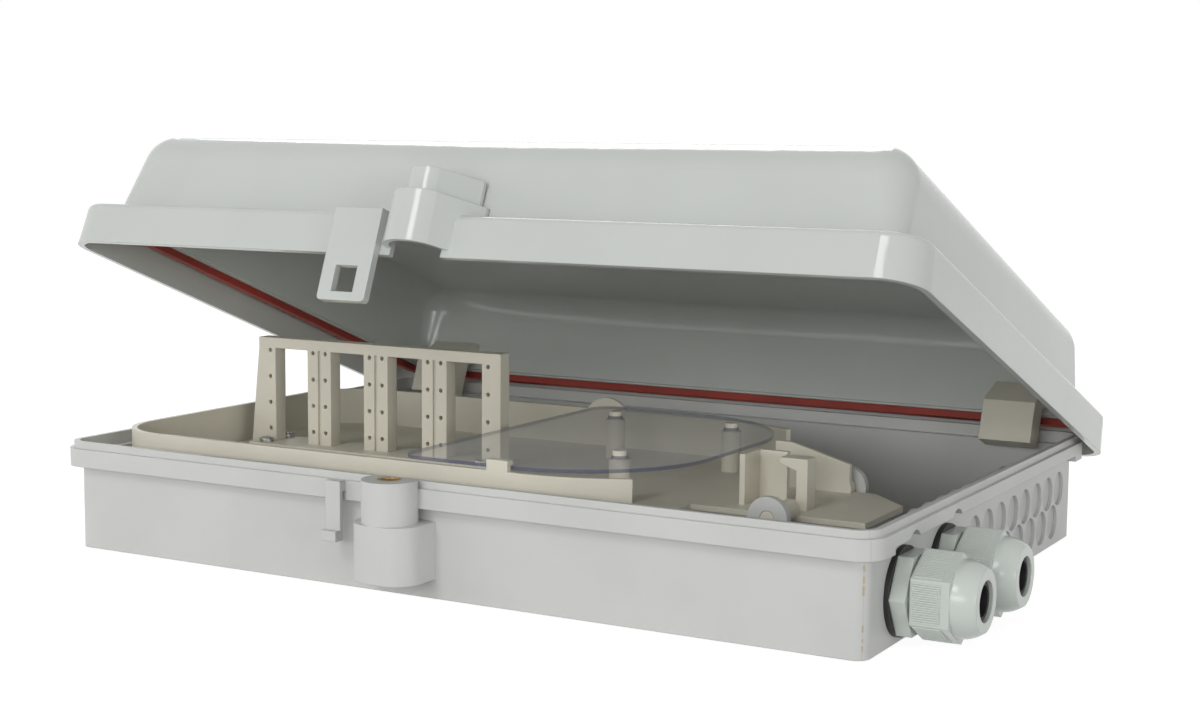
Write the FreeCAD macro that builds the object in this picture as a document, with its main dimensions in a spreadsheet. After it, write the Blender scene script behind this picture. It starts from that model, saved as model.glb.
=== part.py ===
import FreeCAD, Part
import math
import os
import re
import Sketcher

doc = FreeCAD.newDocument("fibre_distribution_box")
V = FreeCAD.Vector

# Driving dimensions, in millimetres and degrees.
DIMENSIONS = [
    ("rim_length", 312, "outside length of the base rim"),
    ("rim_width", 220, "outside width of the base rim"),
    ("rim_radius", 9, "corner radius of the base rim"),
    ("band_proud", 4.5, "how far the rim band stands out from the wall"),
    ("band_height", 6.5, "height of the rim band"),
    ("wall_height", 30, "wall height below the rim band"),
    ("wall_thick", 2.5, "base wall"),
    ("floor_thick", 2.5, "base floor"),
    ("lip_height", 2.4, "sealing lip above the band"),
    ("lip_thick", 2, "sealing lip"),
    ("lip_set", 1.4, "ledge between the band face and the lip"),
    ("step_drop", 2, "inside step below the band top"),
    ("lid_over", 6, "how far the lid stands out past the rim"),
    ("lid_radius", 13, "corner radius of the lid skirt"),
    ("lid_thick", 2.5, "lid wall"),
    ("skirt_height", 15, "lid skirt, up to the shoulder"),
    ("shoulder_width", 10.5, "flat shoulder round the lid crown"),
    ("crown_height", 32.8, "lid crown above the shoulder"),
    ("crown_draft", 2.4, "lean of the crown wall over its height"),
    ("skirt_draft", 0.8, "inward lean of the skirt"),
    ("crown_round", 13, "rounding of the crown edge"),
    ("crown_corner", 6, "upright corner radius of the crown at its foot"),
    ("crown_tip", 14, "corner radius of the crown at its top, before the rounding"),
    ("shoulder_round", 2.2, "rounding of the shoulder edge"),
    ("gasket_width", 3.6, "lid gasket"),
    ("gasket_gap", 0.3, "gasket above the lip when shut"),
    ("gasket_play", 0.1, "gasket from the rib that holds it"),
    ("rib_thick", 1.6, "rib that holds the gasket"),
    ("rib_drop", 0.8, "how far that rib hangs below the shoulder"),
    ("lid_angle", 20.7, "how far the lid stands open"),
    ("hinge_back", 2, "hinge axis behind the rim"),
    ("hinge_rise", 26, "hinge axis above the back face"),
    ("hinge_set", 56, "hinge centre from the rim end"),
    ("knuckle_radius", 3.5, "hinge knuckles"),
    ("knuckle_width", 12, "lid knuckle"),
    ("lug_thick", 4, "base hinge lug"),
    ("side_gap", 0.4, "free play beside a moving piece"),
    ("pin_radius", 1.5, "hinge pin"),
    ("pin_play", 0.05, "running fit of the pin, on the radius"),
    ("lock_x", -8.5, "lock axis along the front"),
    ("lock_proud", 4, "lock axis in front of the rim"),
    ("boss_radius", 9.2, "upper lock boss"),
    ("boss_top", 39.5, "top of the lock boss"),
    ("boss_step", 25.5, "step between the lock boss parts"),
    ("boss_low", 6.5, "underside of the lock boss"),
    ("boss_left", 12, "lower lock boss to the left of its axis"),
    ("boss_right", 12, "lower lock boss to the right of its axis"),
    ("boss_round", 9, "front corners of the lower lock boss"),
    ("boss_root", 1, "how far the lock boss reaches into the wall"),
    ("insert_radius", 4, "threaded insert"),
    ("insert_bore", 2.65, "bore of the insert"),
    ("insert_length", 10, "threaded insert"),
    ("hood_play", 0.8, "hood round the lock boss"),
    ("hood_wall", 2, "hood wall"),
    ("hood_height", 20, "hood above the skirt foot"),
    ("hood_lift", 2.5, "hood mouth above the skirt foot"),
    ("hood_reach", 18, "right flank of the hood from the lock axis"),
    ("keyway_reach", 15, "right flank of the key well from the lock axis"),
    ("flank_end", 1.5, "end of those flanks in front of their root"),
    ("keyway_radius", 7.8, "key well above the hood"),
    ("keyway_height", 9, "key well above the hood"),
    ("well_radius", 5.8, "bore of the key well"),
    ("screw_radius", 2.4, "lock screw shank"),
    ("screw_head", 5, "radius of the lock screw head"),
    ("head_height", 5, "lock screw head"),
    ("hasp_x", -32, "hasp along the front"),
    ("hasp_width", 19, "hasp"),
    ("hasp_thick", 3, "hasp"),
    ("hasp_drop", 17, "hasp below the skirt"),
    ("hasp_window", 8.7, "hasp window width"),
    ("window_height", 9, "hasp window height"),
    ("window_foot", 3, "bar under the hasp window"),
    ("hook_width", 6, "catch finger"),
    ("hook_thick", 1.4, "catch finger"),
    ("hook_off", 1.6, "catch finger in front of the band"),
    ("hook_foot", 16.8, "underside of the catch foot"),
    ("hook_bar", 3.5, "height of the catch foot"),
    ("root_depth", 0.5, "how far a finger or lug reaches into the wall it grows from"),
    ("gland_set", 51.2, "middle of the two glands from the rim front"),
    ("gland_pitch", 38, "between the gland axes"),
    ("gland_rise", 15.5, "gland axis above the back face"),
    ("gland_flats", 24, "gland hexagons across flats"),
    ("thread_radius", 10.2, "gland thread"),
    ("thread_play", 0.2, "wall hole and nuts round the thread"),
    ("washer_thick", 1.6, "gland washer"),
    ("collar_thick", 5, "gland body hexagon"),
    ("nut_gap", 0.8, "between the collar and the dome nut"),
    ("nut_length", 12, "hexagon part of the dome nut"),
    ("dome_length", 7.2, "dome of the nut"),
    ("dome_mouth", 6.3, "radius of the dome opening"),
    ("dome_set", 0.1, "dome inside the flats of its hexagon"),
    ("mouth_thick", 1.4, "dome wall at its opening"),
    ("cavity_run", 0.6, "thread bore of the dome nut past its hexagon"),
    ("locknut_thick", 5, "lock nut inside the wall"),
    ("tail_length", 12, "gland thread inside the wall"),
    ("seal_bore", 4.8, "cable bore of the seal"),
    ("seal_wall", 2.2, "gland thread wall round the seal"),
    ("seal_sink", 1, "seal nose behind the dome opening"),
    ("seal_play", 0.6, "dome opening round the seal nose"),
    ("bore_step", 2, "bore of the gland body past that of the seal, on the radius"),
    ("notch_radius", 5.4, "notch in the rim band above each gland"),
    ("notch_rise", 29, "centre of that notch above the back face"),
    ("band_cut", 2.2, "rim band trimmed above the cable entries"),
    ("cut_front", 15.5, "front end of that trim from the rim front"),
    ("cut_back", 16, "back end of that trim from the rim back"),
    ("port_radius", 6.2, "drop port"),
    ("port_play", 0.1, "plug in a drop port"),
    ("port_pitch", 13.9, "between drop ports"),
    ("port_set", 22, "last drop port of the upper row from the rim back"),
    ("port_reach", 28, "room for the rear gland, from its axis to the upper row of drop ports"),
    ("port_upper", 20.4, "upper port row"),
    ("port_lower", 8.9, "lower port row"),
    ("plug_sink", 1.2, "plug face behind the wall face"),
    ("plug_lip", 0.15, "plug collar past the rim of its port"),
    ("plug_length", 20, "plug collar inside the wall"),
    ("tray_side", 10, "splice tray from the left rim end"),
    ("tray_gap", 12, "splice tray from the rim front"),
    ("tray_back", 45, "splice tray, to the back of the middle"),
    ("tray_bow", 36, "length of the curved ends of the tray walls"),
    ("tray_short", 7, "free ends of the tray walls from the cover edge"),
    ("tray_tuck", 10, "how far the tray wall ends curve in"),
    ("tray_radius", 24, "left corners of the splice tray"),
    ("tray_floor", 26, "underside of the splice tray"),
    ("tray_thick", 2, "splice tray floor and walls"),
    ("tray_wall", 42.5, "top of the splice tray walls"),
    ("tongue_set", 28, "right end of the splice tray from the rim end"),
    ("tongue_chamfer", 16, "cut corner of the splice tray"),
    ("ear_set", 55, "tray pivot from the right rim end"),
    ("ear_rise", 29.4, "tray pivot above the back face"),
    ("ear_radius", 7, "tray pivot ears"),
    ("ear_thick", 3, "tray pivot ears"),
    ("ear_front", -60, "inner face of the front ear"),
    ("ear_back", 4, "inner face of the back ear"),
    ("pivot_radius", 2.4, "tray pivot"),
    ("pivot_play", 0.1, "ear hole round the tray pivot"),
    ("tongue_front", -47, "front edge of the splice tray tongue"),
    ("barrel_radius", 3.6, "tray pivot barrel"),
    ("barrel_gap", 1, "tray pivot barrel from its ear"),
    ("tab_x", -16, "half-round tab on the tray back wall"),
    ("tab_width", 17, "half-round tab"),
    ("tab_height", 4.6, "half-round tab"),
    ("guide_set", 76, "left edge of the fibre guide wall from the rim end"),
    ("guide_run", 12, "front run of the fibre guide wall"),
    ("guide_y", -39, "front face of the fibre guide wall"),
    ("guide_top", 45, "top of the fibre guide wall"),
    ("guide_return", 12, "side run of the fibre guide wall"),
    ("hook_set", 56, "left face of the fibre hook post from the rim end"),
    ("hook_post_y", -38, "front face of the fibre hook post"),
    ("hook_post_width", 4, "fibre hook post"),
    ("hook_post_depth", 7, "fibre hook post"),
    ("hook_arm", 6, "arm of the fibre hook"),
    ("fence_set", 80, "left end of the back fence from the rim end"),
    ("fence_run", 28, "length of the back fence"),
    ("fence_y", -1, "back fence"),
    ("fence_top", 44, "back fence"),
    ("clip_set", 8, "cover clip before the bend of the tray wall"),
    ("clip_width", 8, "cover clip"),
    ("clip_nose", 1.5, "how far the clip laps the cover"),
    ("clip_height", 1.6, "nose of the cover clip"),
    ("clip_play", 0.3, "clip and its wall round the cover"),
    ("post_left_set", 18, "left cover post from the cover edge"),
    ("post_left_y", 21, "left cover post"),
    ("post_far_set", 23, "far cover post from the right cover edge"),
    ("post_far_y", 18, "far cover post"),
    ("post_near_set", 28, "near cover post from the right cover edge"),
    ("post_near_y", -58, "near cover post"),
    ("post_base", 3.6, "cover post under the cover"),
    ("post_rise", 1.6, "cover post above the cover"),
    ("post_radius", 2.4, "cover posts"),
    ("post_play", 0.3, "cover holes round the posts"),
    ("cover_rise", 43, "underside of the clear cover"),
    ("cover_thick", 1.2, "clear cover"),
    ("cover_gap", 4.5, "clear cover from the adapter panel"),
    ("cover_side", 7, "clear cover from the fibre guide wall"),
    ("cover_play", 0.4, "clear cover from the tray wall"),
    ("cover_back", 42, "back edge of the clear cover"),
    ("cover_round", 48, "right corners of the clear cover"),
    ("cover_nick", 8, "left corners of the clear cover"),
    ("panel_set", 12.5, "left end of the adapter panel from the tray side"),
    ("panel_y", -22, "middle of the adapter panel"),
    ("panel_thick", 6, "adapter panel"),
    ("panel_top", 70.3, "top of the adapter panel"),
    ("bay_width", 15.5, "adapter bay"),
    ("bay_count", 4, "adapter bays"),
    ("post_width", 11, "double post of the panel"),
    ("end_width", 8, "end post of the panel"),
    ("bar_height", 4, "top bar of the panel"),
    ("foot_depth", 20, "foot plate of the panel"),
    ("foot_thick", 2, "foot plate of the panel"),
    ("pilot_radius", 0.8, "pilot holes for adapter screws"),
    ("pilot_depth", 4, "pilot holes for adapter screws"),
    ("pilot_first", 34.8, "lowest pilot row"),
    ("pilot_pitch", 10.2, "between pilot rows"),
    ("pilot_count", 4, "pilot rows"),
    ("pilot_inset", 2.6, "pilot hole from the bay edge"),
    ("gusset_run", 4, "gusset at the left end of the panel"),
    ("groove_width", 1.2, "groove down a double post"),
    ("groove_depth", 0.8, "groove down a double post"),
    ("fix_inset", 6, "panel screws from the panel ends"),
    ("fix_offset", 6.6, "panel screws from the panel middle"),
    ("fix_radius", 1.4, "panel screw shank"),
    ("fix_head", 2.6, "panel screw head"),
    ("fix_height", 1.8, "panel screw head"),
    ("fix_play", 0.1, "holes round the panel screws"),
    ("mount_x", 240, "wall screw spacing along the box"),
    ("mount_y", 160, "wall screw spacing across the box"),
    ("mount_radius", 2.6, "wall screw hole"),
    ("mount_ring", 6, "raised ring round a wall screw hole"),
    ("ring_height", 3, "raised ring above the floor"),
    ("stand_radius", 4, "tray stand"),
    ("stand_x", -100, "tray stands along the box"),
    ("block_set", 26, "hinge block centre from the rim end"),
    ("block_width", 20, "hinge block"),
    ("block_foot", 27.4, "underside of the hinge block when shut"),
    ("block_reach", 26, "front face of the hinge block from the hinge axis"),
    ("block_depth", 10, "hinge block inside the base"),
    ("block_shoulder", 43, "hinge block, where it steps back to the crown wall"),
    ("block_seat", 2.4, "foot of the seat on the crown wall above that step"),
    ("block_top", 10, "top of the hinge block above that step"),
    ("block_ridge", 2, "front edge of the hinge block top past the back of its foot"),
    ("block_play", 0.1, "hinge block from the crown wall"),
]

sheet = doc.addObject("Spreadsheet::Sheet", "dims")
for row, (alias, value, note) in enumerate(DIMENSIONS, start=1):
    sheet.set("A%d" % row, alias)
    sheet.set("B%d" % row, str(value))
    sheet.set("C%d" % row, note)
    sheet.setAlias("B%d" % row, alias)
doc.recompute()

# Two heights closer than this are the same.
SAME_LEVEL = 0.01

ALIASES = [alias for alias, value, note in DIMENSIONS]
WORD = re.compile(r"[a-z_]+")

# Levels and lines that several pieces share.
BAND_TOP = "(wall_height + band_height)"
LIP_TOP = "(wall_height + band_height + lip_height)"
WALL_X = "(rim_length / 2 - band_proud)"
WALL_Y = "(rim_width / 2 - band_proud)"
LIP_LINE = "(lip_set + lip_thick / 2)"
LOCK_Y = "(-rim_width / 2 - lock_proud)"
HINGE_Y = "(rim_width / 2 + hinge_back)"
LID_X = "(rim_length / 2 + lid_over)"
LID_Y = "(rim_width / 2 + lid_over)"
SHOULDER = "(wall_height + skirt_height)"
SHOULDER_IN = "(wall_height + skirt_height - lid_thick)"
LID_TOP = "(wall_height + skirt_height + crown_height)"
CROWN_X = "(rim_length / 2 + lid_over - shoulder_width)"
CROWN_Y = "(rim_width / 2 + lid_over - shoulder_width)"
TRAY_TOP = "(tray_floor + tray_thick)"
SWEEP = "((tray_bow^2 + tray_tuck^2) / (2 * tray_tuck))"
GLAND_MID = "(-rim_width / 2 + gland_set)"
PORT_LAST = "(rim_width / 2 - port_set)"
PORT_FIRST = "(%s + gland_pitch / 2 + port_reach)" % GLAND_MID
PORT_STEPS = "floor((%s - %s) / port_pitch)" % (PORT_LAST, PORT_FIRST)
PORT_ROW = "(port_pitch * %s)" % PORT_STEPS
PORT_COUNT = "(%s + 1)" % PORT_STEPS
HINGE_X = "(rim_length / 2 - hinge_set)"
RIM_END = "(rim_length / 2)"
EAR_X = "(rim_length / 2 - ear_set)"
TRAY_LEFT = "(-rim_length / 2 + tray_side)"
TRAY_FRONT = "(-rim_width / 2 + tray_gap)"
TONGUE_END = "(rim_length / 2 - tongue_set)"
GUIDE_LEFT = "(rim_length / 2 - guide_set)"
COVER_RIGHT = "(%s - cover_side)" % GUIDE_LEFT
TRAY_END = "(%s - tray_short)" % COVER_RIGHT
TRAY_BEND = "(%s - tray_bow)" % TRAY_END
PANEL_LENGTH = "(2 * end_width + bay_count * bay_width + (bay_count - 1) * post_width)"
PANEL_LEFT = "(%s + panel_set)" % TRAY_LEFT
PANEL_RIGHT = "(%s + %s)" % (PANEL_LEFT, PANEL_LENGTH)
COVER_LEFT = "(%s + cover_gap)" % PANEL_RIGHT
COVER_FRONT = "(%s + tray_thick + cover_play)" % TRAY_FRONT
COVER_POSTS = [
    ("(%s + post_left_set)" % COVER_LEFT, "post_left_y"),
    ("(%s - post_far_set)" % COVER_RIGHT, "post_far_y"),
    ("(%s - post_near_set)" % COVER_RIGHT, "post_near_y"),
]
BLOCK_FRONT = "(%s - block_reach)" % HINGE_Y
BLOCK_BACK = "(%s - block_reach + block_depth)" % HINGE_Y
NUT_START = "(washer_thick + collar_thick + nut_gap)"
NUT_END = "(washer_thick + collar_thick + nut_gap + nut_length)"


def link(text):
    """The same expression with every cell alias led by the sheet's name."""
    return WORD.sub(lambda m: "dims." + m.group() if m.group() in ALIASES else m.group(), text)


def number(text):
    """Present value of an expression over the sheet."""
    result = sheet.evalExpression(text)
    return float(getattr(result, "Value", result))


def new_body(label):
    body = doc.addObject("PartDesign::Body", label)
    body.Label = label
    return body


def add_sketch(body, plane, level):
    """Sketch on a plane of the body's own origin, set off along the normal."""
    sketch = body.newObject("Sketcher::SketchObject", body.Name + "_sketch")
    origin = [f for f in body.Origin.OriginFeatures if f.Role == plane + "_Plane"][0]
    sketch.AttachmentSupport = (origin, [""])
    sketch.MapMode = "FlatFace"
    offset = "-(%s)" % level if plane == "XZ" else level
    sketch.setExpression("AttachmentOffset.Base.z", link(offset))
    return sketch


def fix(sketch, kind, where, text):
    """Constraint bound to an expression over the sheet."""
    index = sketch.addConstraint(Sketcher.Constraint(kind, *where, number(text)))
    sketch.setExpression("Constraints[%d]" % index, link(text))


def pin_point(sketch, item, end, x, y):
    fix(sketch, "DistanceX", (-1, 1, item, end), x)
    fix(sketch, "DistanceY", (-1, 1, item, end), y)


def arc_between(start, end, radius, left):
    """Arc of less than half a turn; its centre lies left or right of the way."""
    chord = end - start
    middle = (start + end) * 0.5
    reach = math.sqrt(max(radius * radius - chord.Length * chord.Length / 4, 0))
    side = V(-chord.y, chord.x, 0).normalize()
    centre = middle + side * (reach if left else -reach)
    first, last = (start, end) if left else (end, start)
    turn = [math.atan2(p.y - centre.y, p.x - centre.x) for p in (first, last)]
    return Part.ArcOfCircle(Part.Circle(centre, V(0, 0, 1), radius), turn[0], turn[1])


def outline(sketch, points, arcs=None, hollow=()):
    """Closed outline; arcs gives the radius of the runs that are curved."""
    arcs = arcs or {}
    first = sketch.GeometryCount
    spots = [V(number(x), number(y), 0) for x, y in points]
    count = len(points)
    ends = []
    for i in range(count):
        start, end = spots[i], spots[(i + 1) % count]
        if i in arcs:
            sketch.addGeometry(arc_between(start, end, number(arcs[i]), i not in hollow))
        else:
            sketch.addGeometry(Part.LineSegment(start, end))
        ends.append((2, 1) if i in hollow else (1, 2))
    for i in range(count):
        after = (i + 1) % count
        meet = (first + i, ends[i][1], first + after, ends[after][0])
        sketch.addConstraint(Sketcher.Constraint("Coincident", *meet))
        pin_point(sketch, first + i, ends[i][0], *points[i])
        if i in arcs:
            fix(sketch, "Radius", (first + i,), arcs[i])


def box(sketch, x0, x1, y0, y1):
    outline(sketch, [(x0, y0), (x1, y0), (x1, y1), (x0, y1)])


def round_box(sketch, x0, x1, y0, y1, left, right=None):
    """Rectangle with rounded corners; the right ones may have their own radius."""
    right = right or left
    points = [
        (x0 + "+" + left, y0), (x1 + "-" + right, y0),
        (x1, y0 + "+" + right), (x1, y1 + "-" + right),
        (x1 + "-" + right, y1), (x0 + "+" + left, y1),
        (x0, y1 + "-" + left), (x0, y0 + "+" + left),
    ]
    outline(sketch, points, {1: right, 3: right, 5: left, 7: left})


def centred(sketch, half_x, half_y, radius):
    round_box(sketch, "-" + half_x, half_x, "-" + half_y, half_y, radius)


def disc(sketch, x, y, radius):
    circle = Part.Circle(V(number(x), number(y), 0), V(0, 0, 1), number(radius))
    item = sketch.addGeometry(circle)
    pin_point(sketch, item, 3, x, y)
    fix(sketch, "Radius", (item,), radius)


def hexagon(sketch, flats, upright):
    """Hexagon about the origin, corners level or upright."""
    corner, half = "%s / sqrt(3)" % flats, "%s / (2 * sqrt(3))" % flats
    edge = "%s / 2" % flats
    points = [(corner, "0"), (half, edge), ("-" + half, edge),
              ("-" + corner, "0"), ("-" + half, "-" + edge), (half, "-" + edge)]
    if upright:
        points = [("-" + y if y[0] != "-" else y[1:], x) for x, y in points]
    outline(sketch, points)


def pad(body, plane, level, length, draw):
    """Solid drawn on a plane and run along its normal: +Z, +X, or -Y."""
    sketch = add_sketch(body, plane, level)
    draw(sketch)
    feature = body.newObject("PartDesign::Pad", body.Name + "_pad")
    feature.Profile = sketch
    feature.setExpression("Length", link(length))
    return feature


def cut(body, plane, level, length, draw):
    """The same run, taken away."""
    sketch = add_sketch(body, plane, level)
    draw(sketch)
    feature = body.newObject("PartDesign::Pocket", body.Name + "_cut")
    feature.Profile = sketch
    feature.Reversed = True
    feature.setExpression("Length", link(length))
    return feature


def loft(body, kind, sections):
    """Straight-sided form between level outlines, each a level and a drawing."""
    sketches = []
    for level, draw in sections:
        sketch = add_sketch(body, "XY", level)
        draw(sketch)
        sketches.append(sketch)
    feature = body.newObject("PartDesign::" + kind, body.Name + "_loft")
    feature.Profile = sketches[0]
    feature.Sections = sketches[1:]
    feature.Ruled = True
    return feature


def turn(body, draw):
    """Solid of revolution about the body's own X axis."""
    sketch = add_sketch(body, "XY", "0")
    draw(sketch)
    feature = body.newObject("PartDesign::Revolution", body.Name + "_turn")
    feature.Profile = sketch
    feature.ReferenceAxis = (sketch, ["H_Axis"])
    feature.Angle = 360
    return feature


def repeat(body, features, length, count, backwards=False):
    """Row of the given features along the first one's sketch axis."""
    doc.recompute()
    row = body.newObject("PartDesign::LinearPattern", body.Name + "_row")
    row.Originals = features
    row.Direction = (features[0].Profile[0], ["H_Axis"])
    row.Reversed = backwards
    row.setExpression("Length", link(length))
    row.setExpression("Occurrences", link(count))
    body.Tip = row
    return row


def round_edges(body, radius, wanted):
    """Fillet of the edges whose middle and box the test accepts."""
    doc.recompute()
    base = body.Tip
    names = []
    for i, edge in enumerate(base.Shape.Edges, start=1):
        if wanted(edge):
            names.append("Edge%d" % i)
    feature = body.newObject("PartDesign::Fillet", body.Name + "_round")
    feature.Base = (base, names)
    feature.setExpression("Radius", link(radius))
    return feature


def level_edge(edge, level):
    """True for an edge that lies at one height."""
    bounds = edge.BoundBox
    return abs(bounds.ZMin - level) < SAME_LEVEL and abs(bounds.ZMax - level) < SAME_LEVEL


def open_lid(body):
    """Turns a piece drawn with the lid shut about the hinge to the open pose."""
    body.Placement = FreeCAD.Placement(V(0, 0, 0), FreeCAD.Rotation(V(-1, 0, 0), 1))
    lean = "(lid_angle * 1 deg)"
    turned = "%s - %s * cos(%s) - hinge_rise * sin(%s)" % (HINGE_Y, HINGE_Y, lean, lean)
    raised = "hinge_rise + %s * sin(%s) - hinge_rise * cos(%s)" % (HINGE_Y, lean, lean)
    body.setExpression("Placement.Rotation.Angle", link("lid_angle * 1 deg"))
    body.setExpression("Placement.Base.y", link(turned))
    body.setExpression("Placement.Base.z", link(raised))


def base_shell(body):
    """Walls, rim band, sealing lip and the two inside steps."""
    wall_r = "(rim_radius - band_proud)"
    pad(body, "XY", "0", "wall_height", lambda s: centred(s, WALL_X, WALL_Y, wall_r))
    pad(body, "XY", "wall_height", "band_height",
        lambda s: centred(s, "(rim_length / 2)", "(rim_width / 2)", "rim_radius"))
    pad(body, "XY", BAND_TOP, "lip_height",
        lambda s: centred(s, "(rim_length / 2 - lip_set)", "(rim_width / 2 - lip_set)",
                          "(rim_radius - lip_set)"))
    inner = "(band_proud + wall_thick)"
    cut(body, "XY", "floor_thick", BAND_TOP + " - step_drop - floor_thick",
        lambda s: centred(s, "(rim_length / 2 - %s)" % inner, "(rim_width / 2 - %s)" % inner,
                          "(rim_radius - %s)" % inner))
    upper = "(lip_set + lip_thick)"
    cut(body, "XY", BAND_TOP + " - step_drop", "step_drop + lip_height",
        lambda s: centred(s, "(rim_length / 2 - %s)" % upper, "(rim_width / 2 - %s)" % upper,
                          "(rim_radius - %s)" % upper))


def corner_discs(sketch, radius):
    for x in ("-mount_x / 2", "mount_x / 2"):
        for y in ("-mount_y / 2", "mount_y / 2"):
            disc(sketch, x, y, radius)


def base_floor(body):
    """Wall screw holes, tray stands and the two ears the tray turns in."""
    pad(body, "XY", "floor_thick", "ring_height", lambda s: corner_discs(s, "mount_ring"))
    cut(body, "XY", "0", "floor_thick + ring_height", lambda s: corner_discs(s, "mount_radius"))

    def stands(sketch):
        disc(sketch, "stand_x", TRAY_FRONT + " + tray_radius", "stand_radius")
        disc(sketch, "stand_x", "tray_back - tray_radius", "stand_radius")

    pad(body, "XY", "floor_thick", "tray_floor - floor_thick", stands)

    def ear(sketch):
        outline(sketch, [
            (EAR_X + " - ear_radius", "floor_thick"), (EAR_X + " + ear_radius", "floor_thick"),
            (EAR_X + " + ear_radius", "ear_rise"), (EAR_X, "ear_rise + ear_radius"),
            (EAR_X + " - ear_radius", "ear_rise")], {2: "ear_radius", 3: "ear_radius"})

    pad(body, "XZ", "ear_front", "ear_thick", ear)
    pad(body, "XZ", "ear_back + ear_thick", "ear_thick", ear)
    cut(body, "XZ", "ear_back + ear_thick", "ear_back - ear_front + 2 * ear_thick",
        lambda s: disc(s, EAR_X, "ear_rise", "pivot_radius + pivot_play"))


def gland_discs(sketch, radius, rise="gland_rise"):
    for side in ("-", "+"):
        disc(sketch, "%s %s gland_pitch / 2" % (GLAND_MID, side), rise, radius)


def port_discs(sketch, radius):
    disc(sketch, PORT_LAST, "port_upper", radius)
    disc(sketch, PORT_LAST + " - port_pitch / 2", "port_lower", radius)


def base_entries(body):
    """Gland holes, notches and trim in the band above them, and drop ports."""
    inside = WALL_X + " - wall_thick"
    cut(body, "YZ", inside, "wall_thick",
        lambda s: gland_discs(s, "thread_radius + thread_play"))
    cut(body, "YZ", WALL_X, "band_proud",
        lambda s: gland_discs(s, "notch_radius", "notch_rise"))
    cut(body, "YZ", WALL_X, "band_proud",
        lambda s: box(s, "-rim_width / 2 + cut_front", "rim_width / 2 - cut_back",
                      "wall_height", "wall_height + band_cut"))
    port = cut(body, "YZ", inside, "wall_thick", lambda s: port_discs(s, "port_radius"))
    repeat(body, [port], PORT_ROW, PORT_COUNT, backwards=True)


def boss_crescent(sketch):
    """Lock boss above the band: a disc cut straight at the band face."""
    chord = "sqrt(boss_radius^2 - lock_proud^2)"
    front = "-rim_width / 2"
    outline(sketch, [
        ("lock_x + " + chord, front), ("lock_x - " + chord, front),
        ("lock_x - boss_radius", LOCK_Y), ("lock_x", LOCK_Y + " - boss_radius"),
        ("lock_x + boss_radius", LOCK_Y)],
        {1: "boss_radius", 2: "boss_radius", 3: "boss_radius", 4: "boss_radius"})


def base_lock(body):
    """Lock boss with its seat for the insert, and the catch finger."""
    front = LOCK_Y + " - boss_radius"
    root = "-(%s) + boss_root" % WALL_Y
    left, right = "(lock_x - boss_left)", "(lock_x + boss_right)"

    def foot(sketch):
        outline(sketch, [
            (right, root), (left, root), (left, front + " + boss_round"),
            (left + " + boss_round", front), (right + " - boss_round", front),
            (right, front + " + boss_round")], {2: "boss_round", 4: "boss_round"})

    pad(body, "XY", "boss_low", "boss_step - boss_low", foot)
    pad(body, "XY", "boss_step", BAND_TOP + " - boss_step",
        lambda s: disc(s, "lock_x", LOCK_Y, "boss_radius"))
    pad(body, "XY", BAND_TOP, "boss_top - " + BAND_TOP, boss_crescent)
    cut(body, "XY", "boss_top - insert_length", "insert_length",
        lambda s: disc(s, "lock_x", LOCK_Y, "insert_radius"))
    face = "(-rim_width / 2 - hook_off)"
    outer = "(-rim_width / 2 - hook_off - hook_thick)"
    tip = "(-rim_width / 2 - lid_over + side_gap)"
    top = "(hook_foot + hook_bar)"
    pad(body, "YZ", "hasp_x - hook_width / 2", "hook_width", lambda s: outline(s, [
        ("-rim_width / 2 + root_depth", BAND_TOP), (outer, BAND_TOP), (outer, top), (tip, top),
        (tip, "hook_foot"), (face, "hook_foot"), (face, BAND_TOP + " - hook_bar"),
        ("-rim_width / 2 + root_depth", BAND_TOP + " - hook_bar")]))


def base_hinges(body):
    """Two pairs of lugs on the back wall, bored for the hinge pins."""
    def lug(sketch):
        outline(sketch, [
            (WALL_Y + " - root_depth", "hinge_rise - knuckle_radius"),
            (HINGE_Y, "hinge_rise - knuckle_radius"),
            (HINGE_Y + " + knuckle_radius", "hinge_rise"),
            (HINGE_Y, "hinge_rise + knuckle_radius"),
            (WALL_Y + " - root_depth", "hinge_rise + knuckle_radius")],
            {1: "knuckle_radius", 2: "knuckle_radius"})

    half = "(knuckle_width / 2 + side_gap)"
    for centre in ("-" + HINGE_X, HINGE_X):
        pad(body, "YZ", centre + " - %s - lug_thick" % half, "lug_thick", lug)
        pad(body, "YZ", centre + " + " + half, "lug_thick", lug)
        cut(body, "YZ", centre + " - %s - lug_thick" % half, "2 * (%s + lug_thick)" % half,
            lambda s: disc(s, HINGE_Y, "hinge_rise", "pin_radius"))


def make_base():
    body = new_body("base_tray")
    base_shell(body)
    base_floor(body)
    base_entries(body)
    base_lock(body)
    base_hinges(body)
    return body


def make_insert():
    body = new_body("lock_insert")

    def ring(sketch):
        disc(sketch, "lock_x", LOCK_Y, "insert_radius")
        disc(sketch, "lock_x", LOCK_Y, "insert_bore")

    pad(body, "XY", "boss_top - insert_length", "insert_length", ring)
    return body


def tray_floor_outline(sketch):
    left, right = TRAY_LEFT, TRAY_END
    outline(sketch, [
        (left + " + tray_radius", TRAY_FRONT), (TRAY_BEND, TRAY_FRONT),
        (right, TRAY_FRONT + " + tray_tuck"), (right, "tongue_front"),
        (TONGUE_END, "tongue_front"),
        (TONGUE_END, "ear_back - barrel_gap - tongue_chamfer"),
        (TONGUE_END + " - tongue_chamfer", "ear_back - barrel_gap"), (right, "ear_back - barrel_gap"),
        (right, "tray_back - tray_tuck"), (TRAY_BEND, "tray_back"),
        (left + " + tray_radius", "tray_back"), (left, "tray_back - tray_radius"),
        (left, TRAY_FRONT + " + tray_radius")],
        {1: SWEEP, 8: SWEEP, 10: "tray_radius", 12: "tray_radius"})


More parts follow.
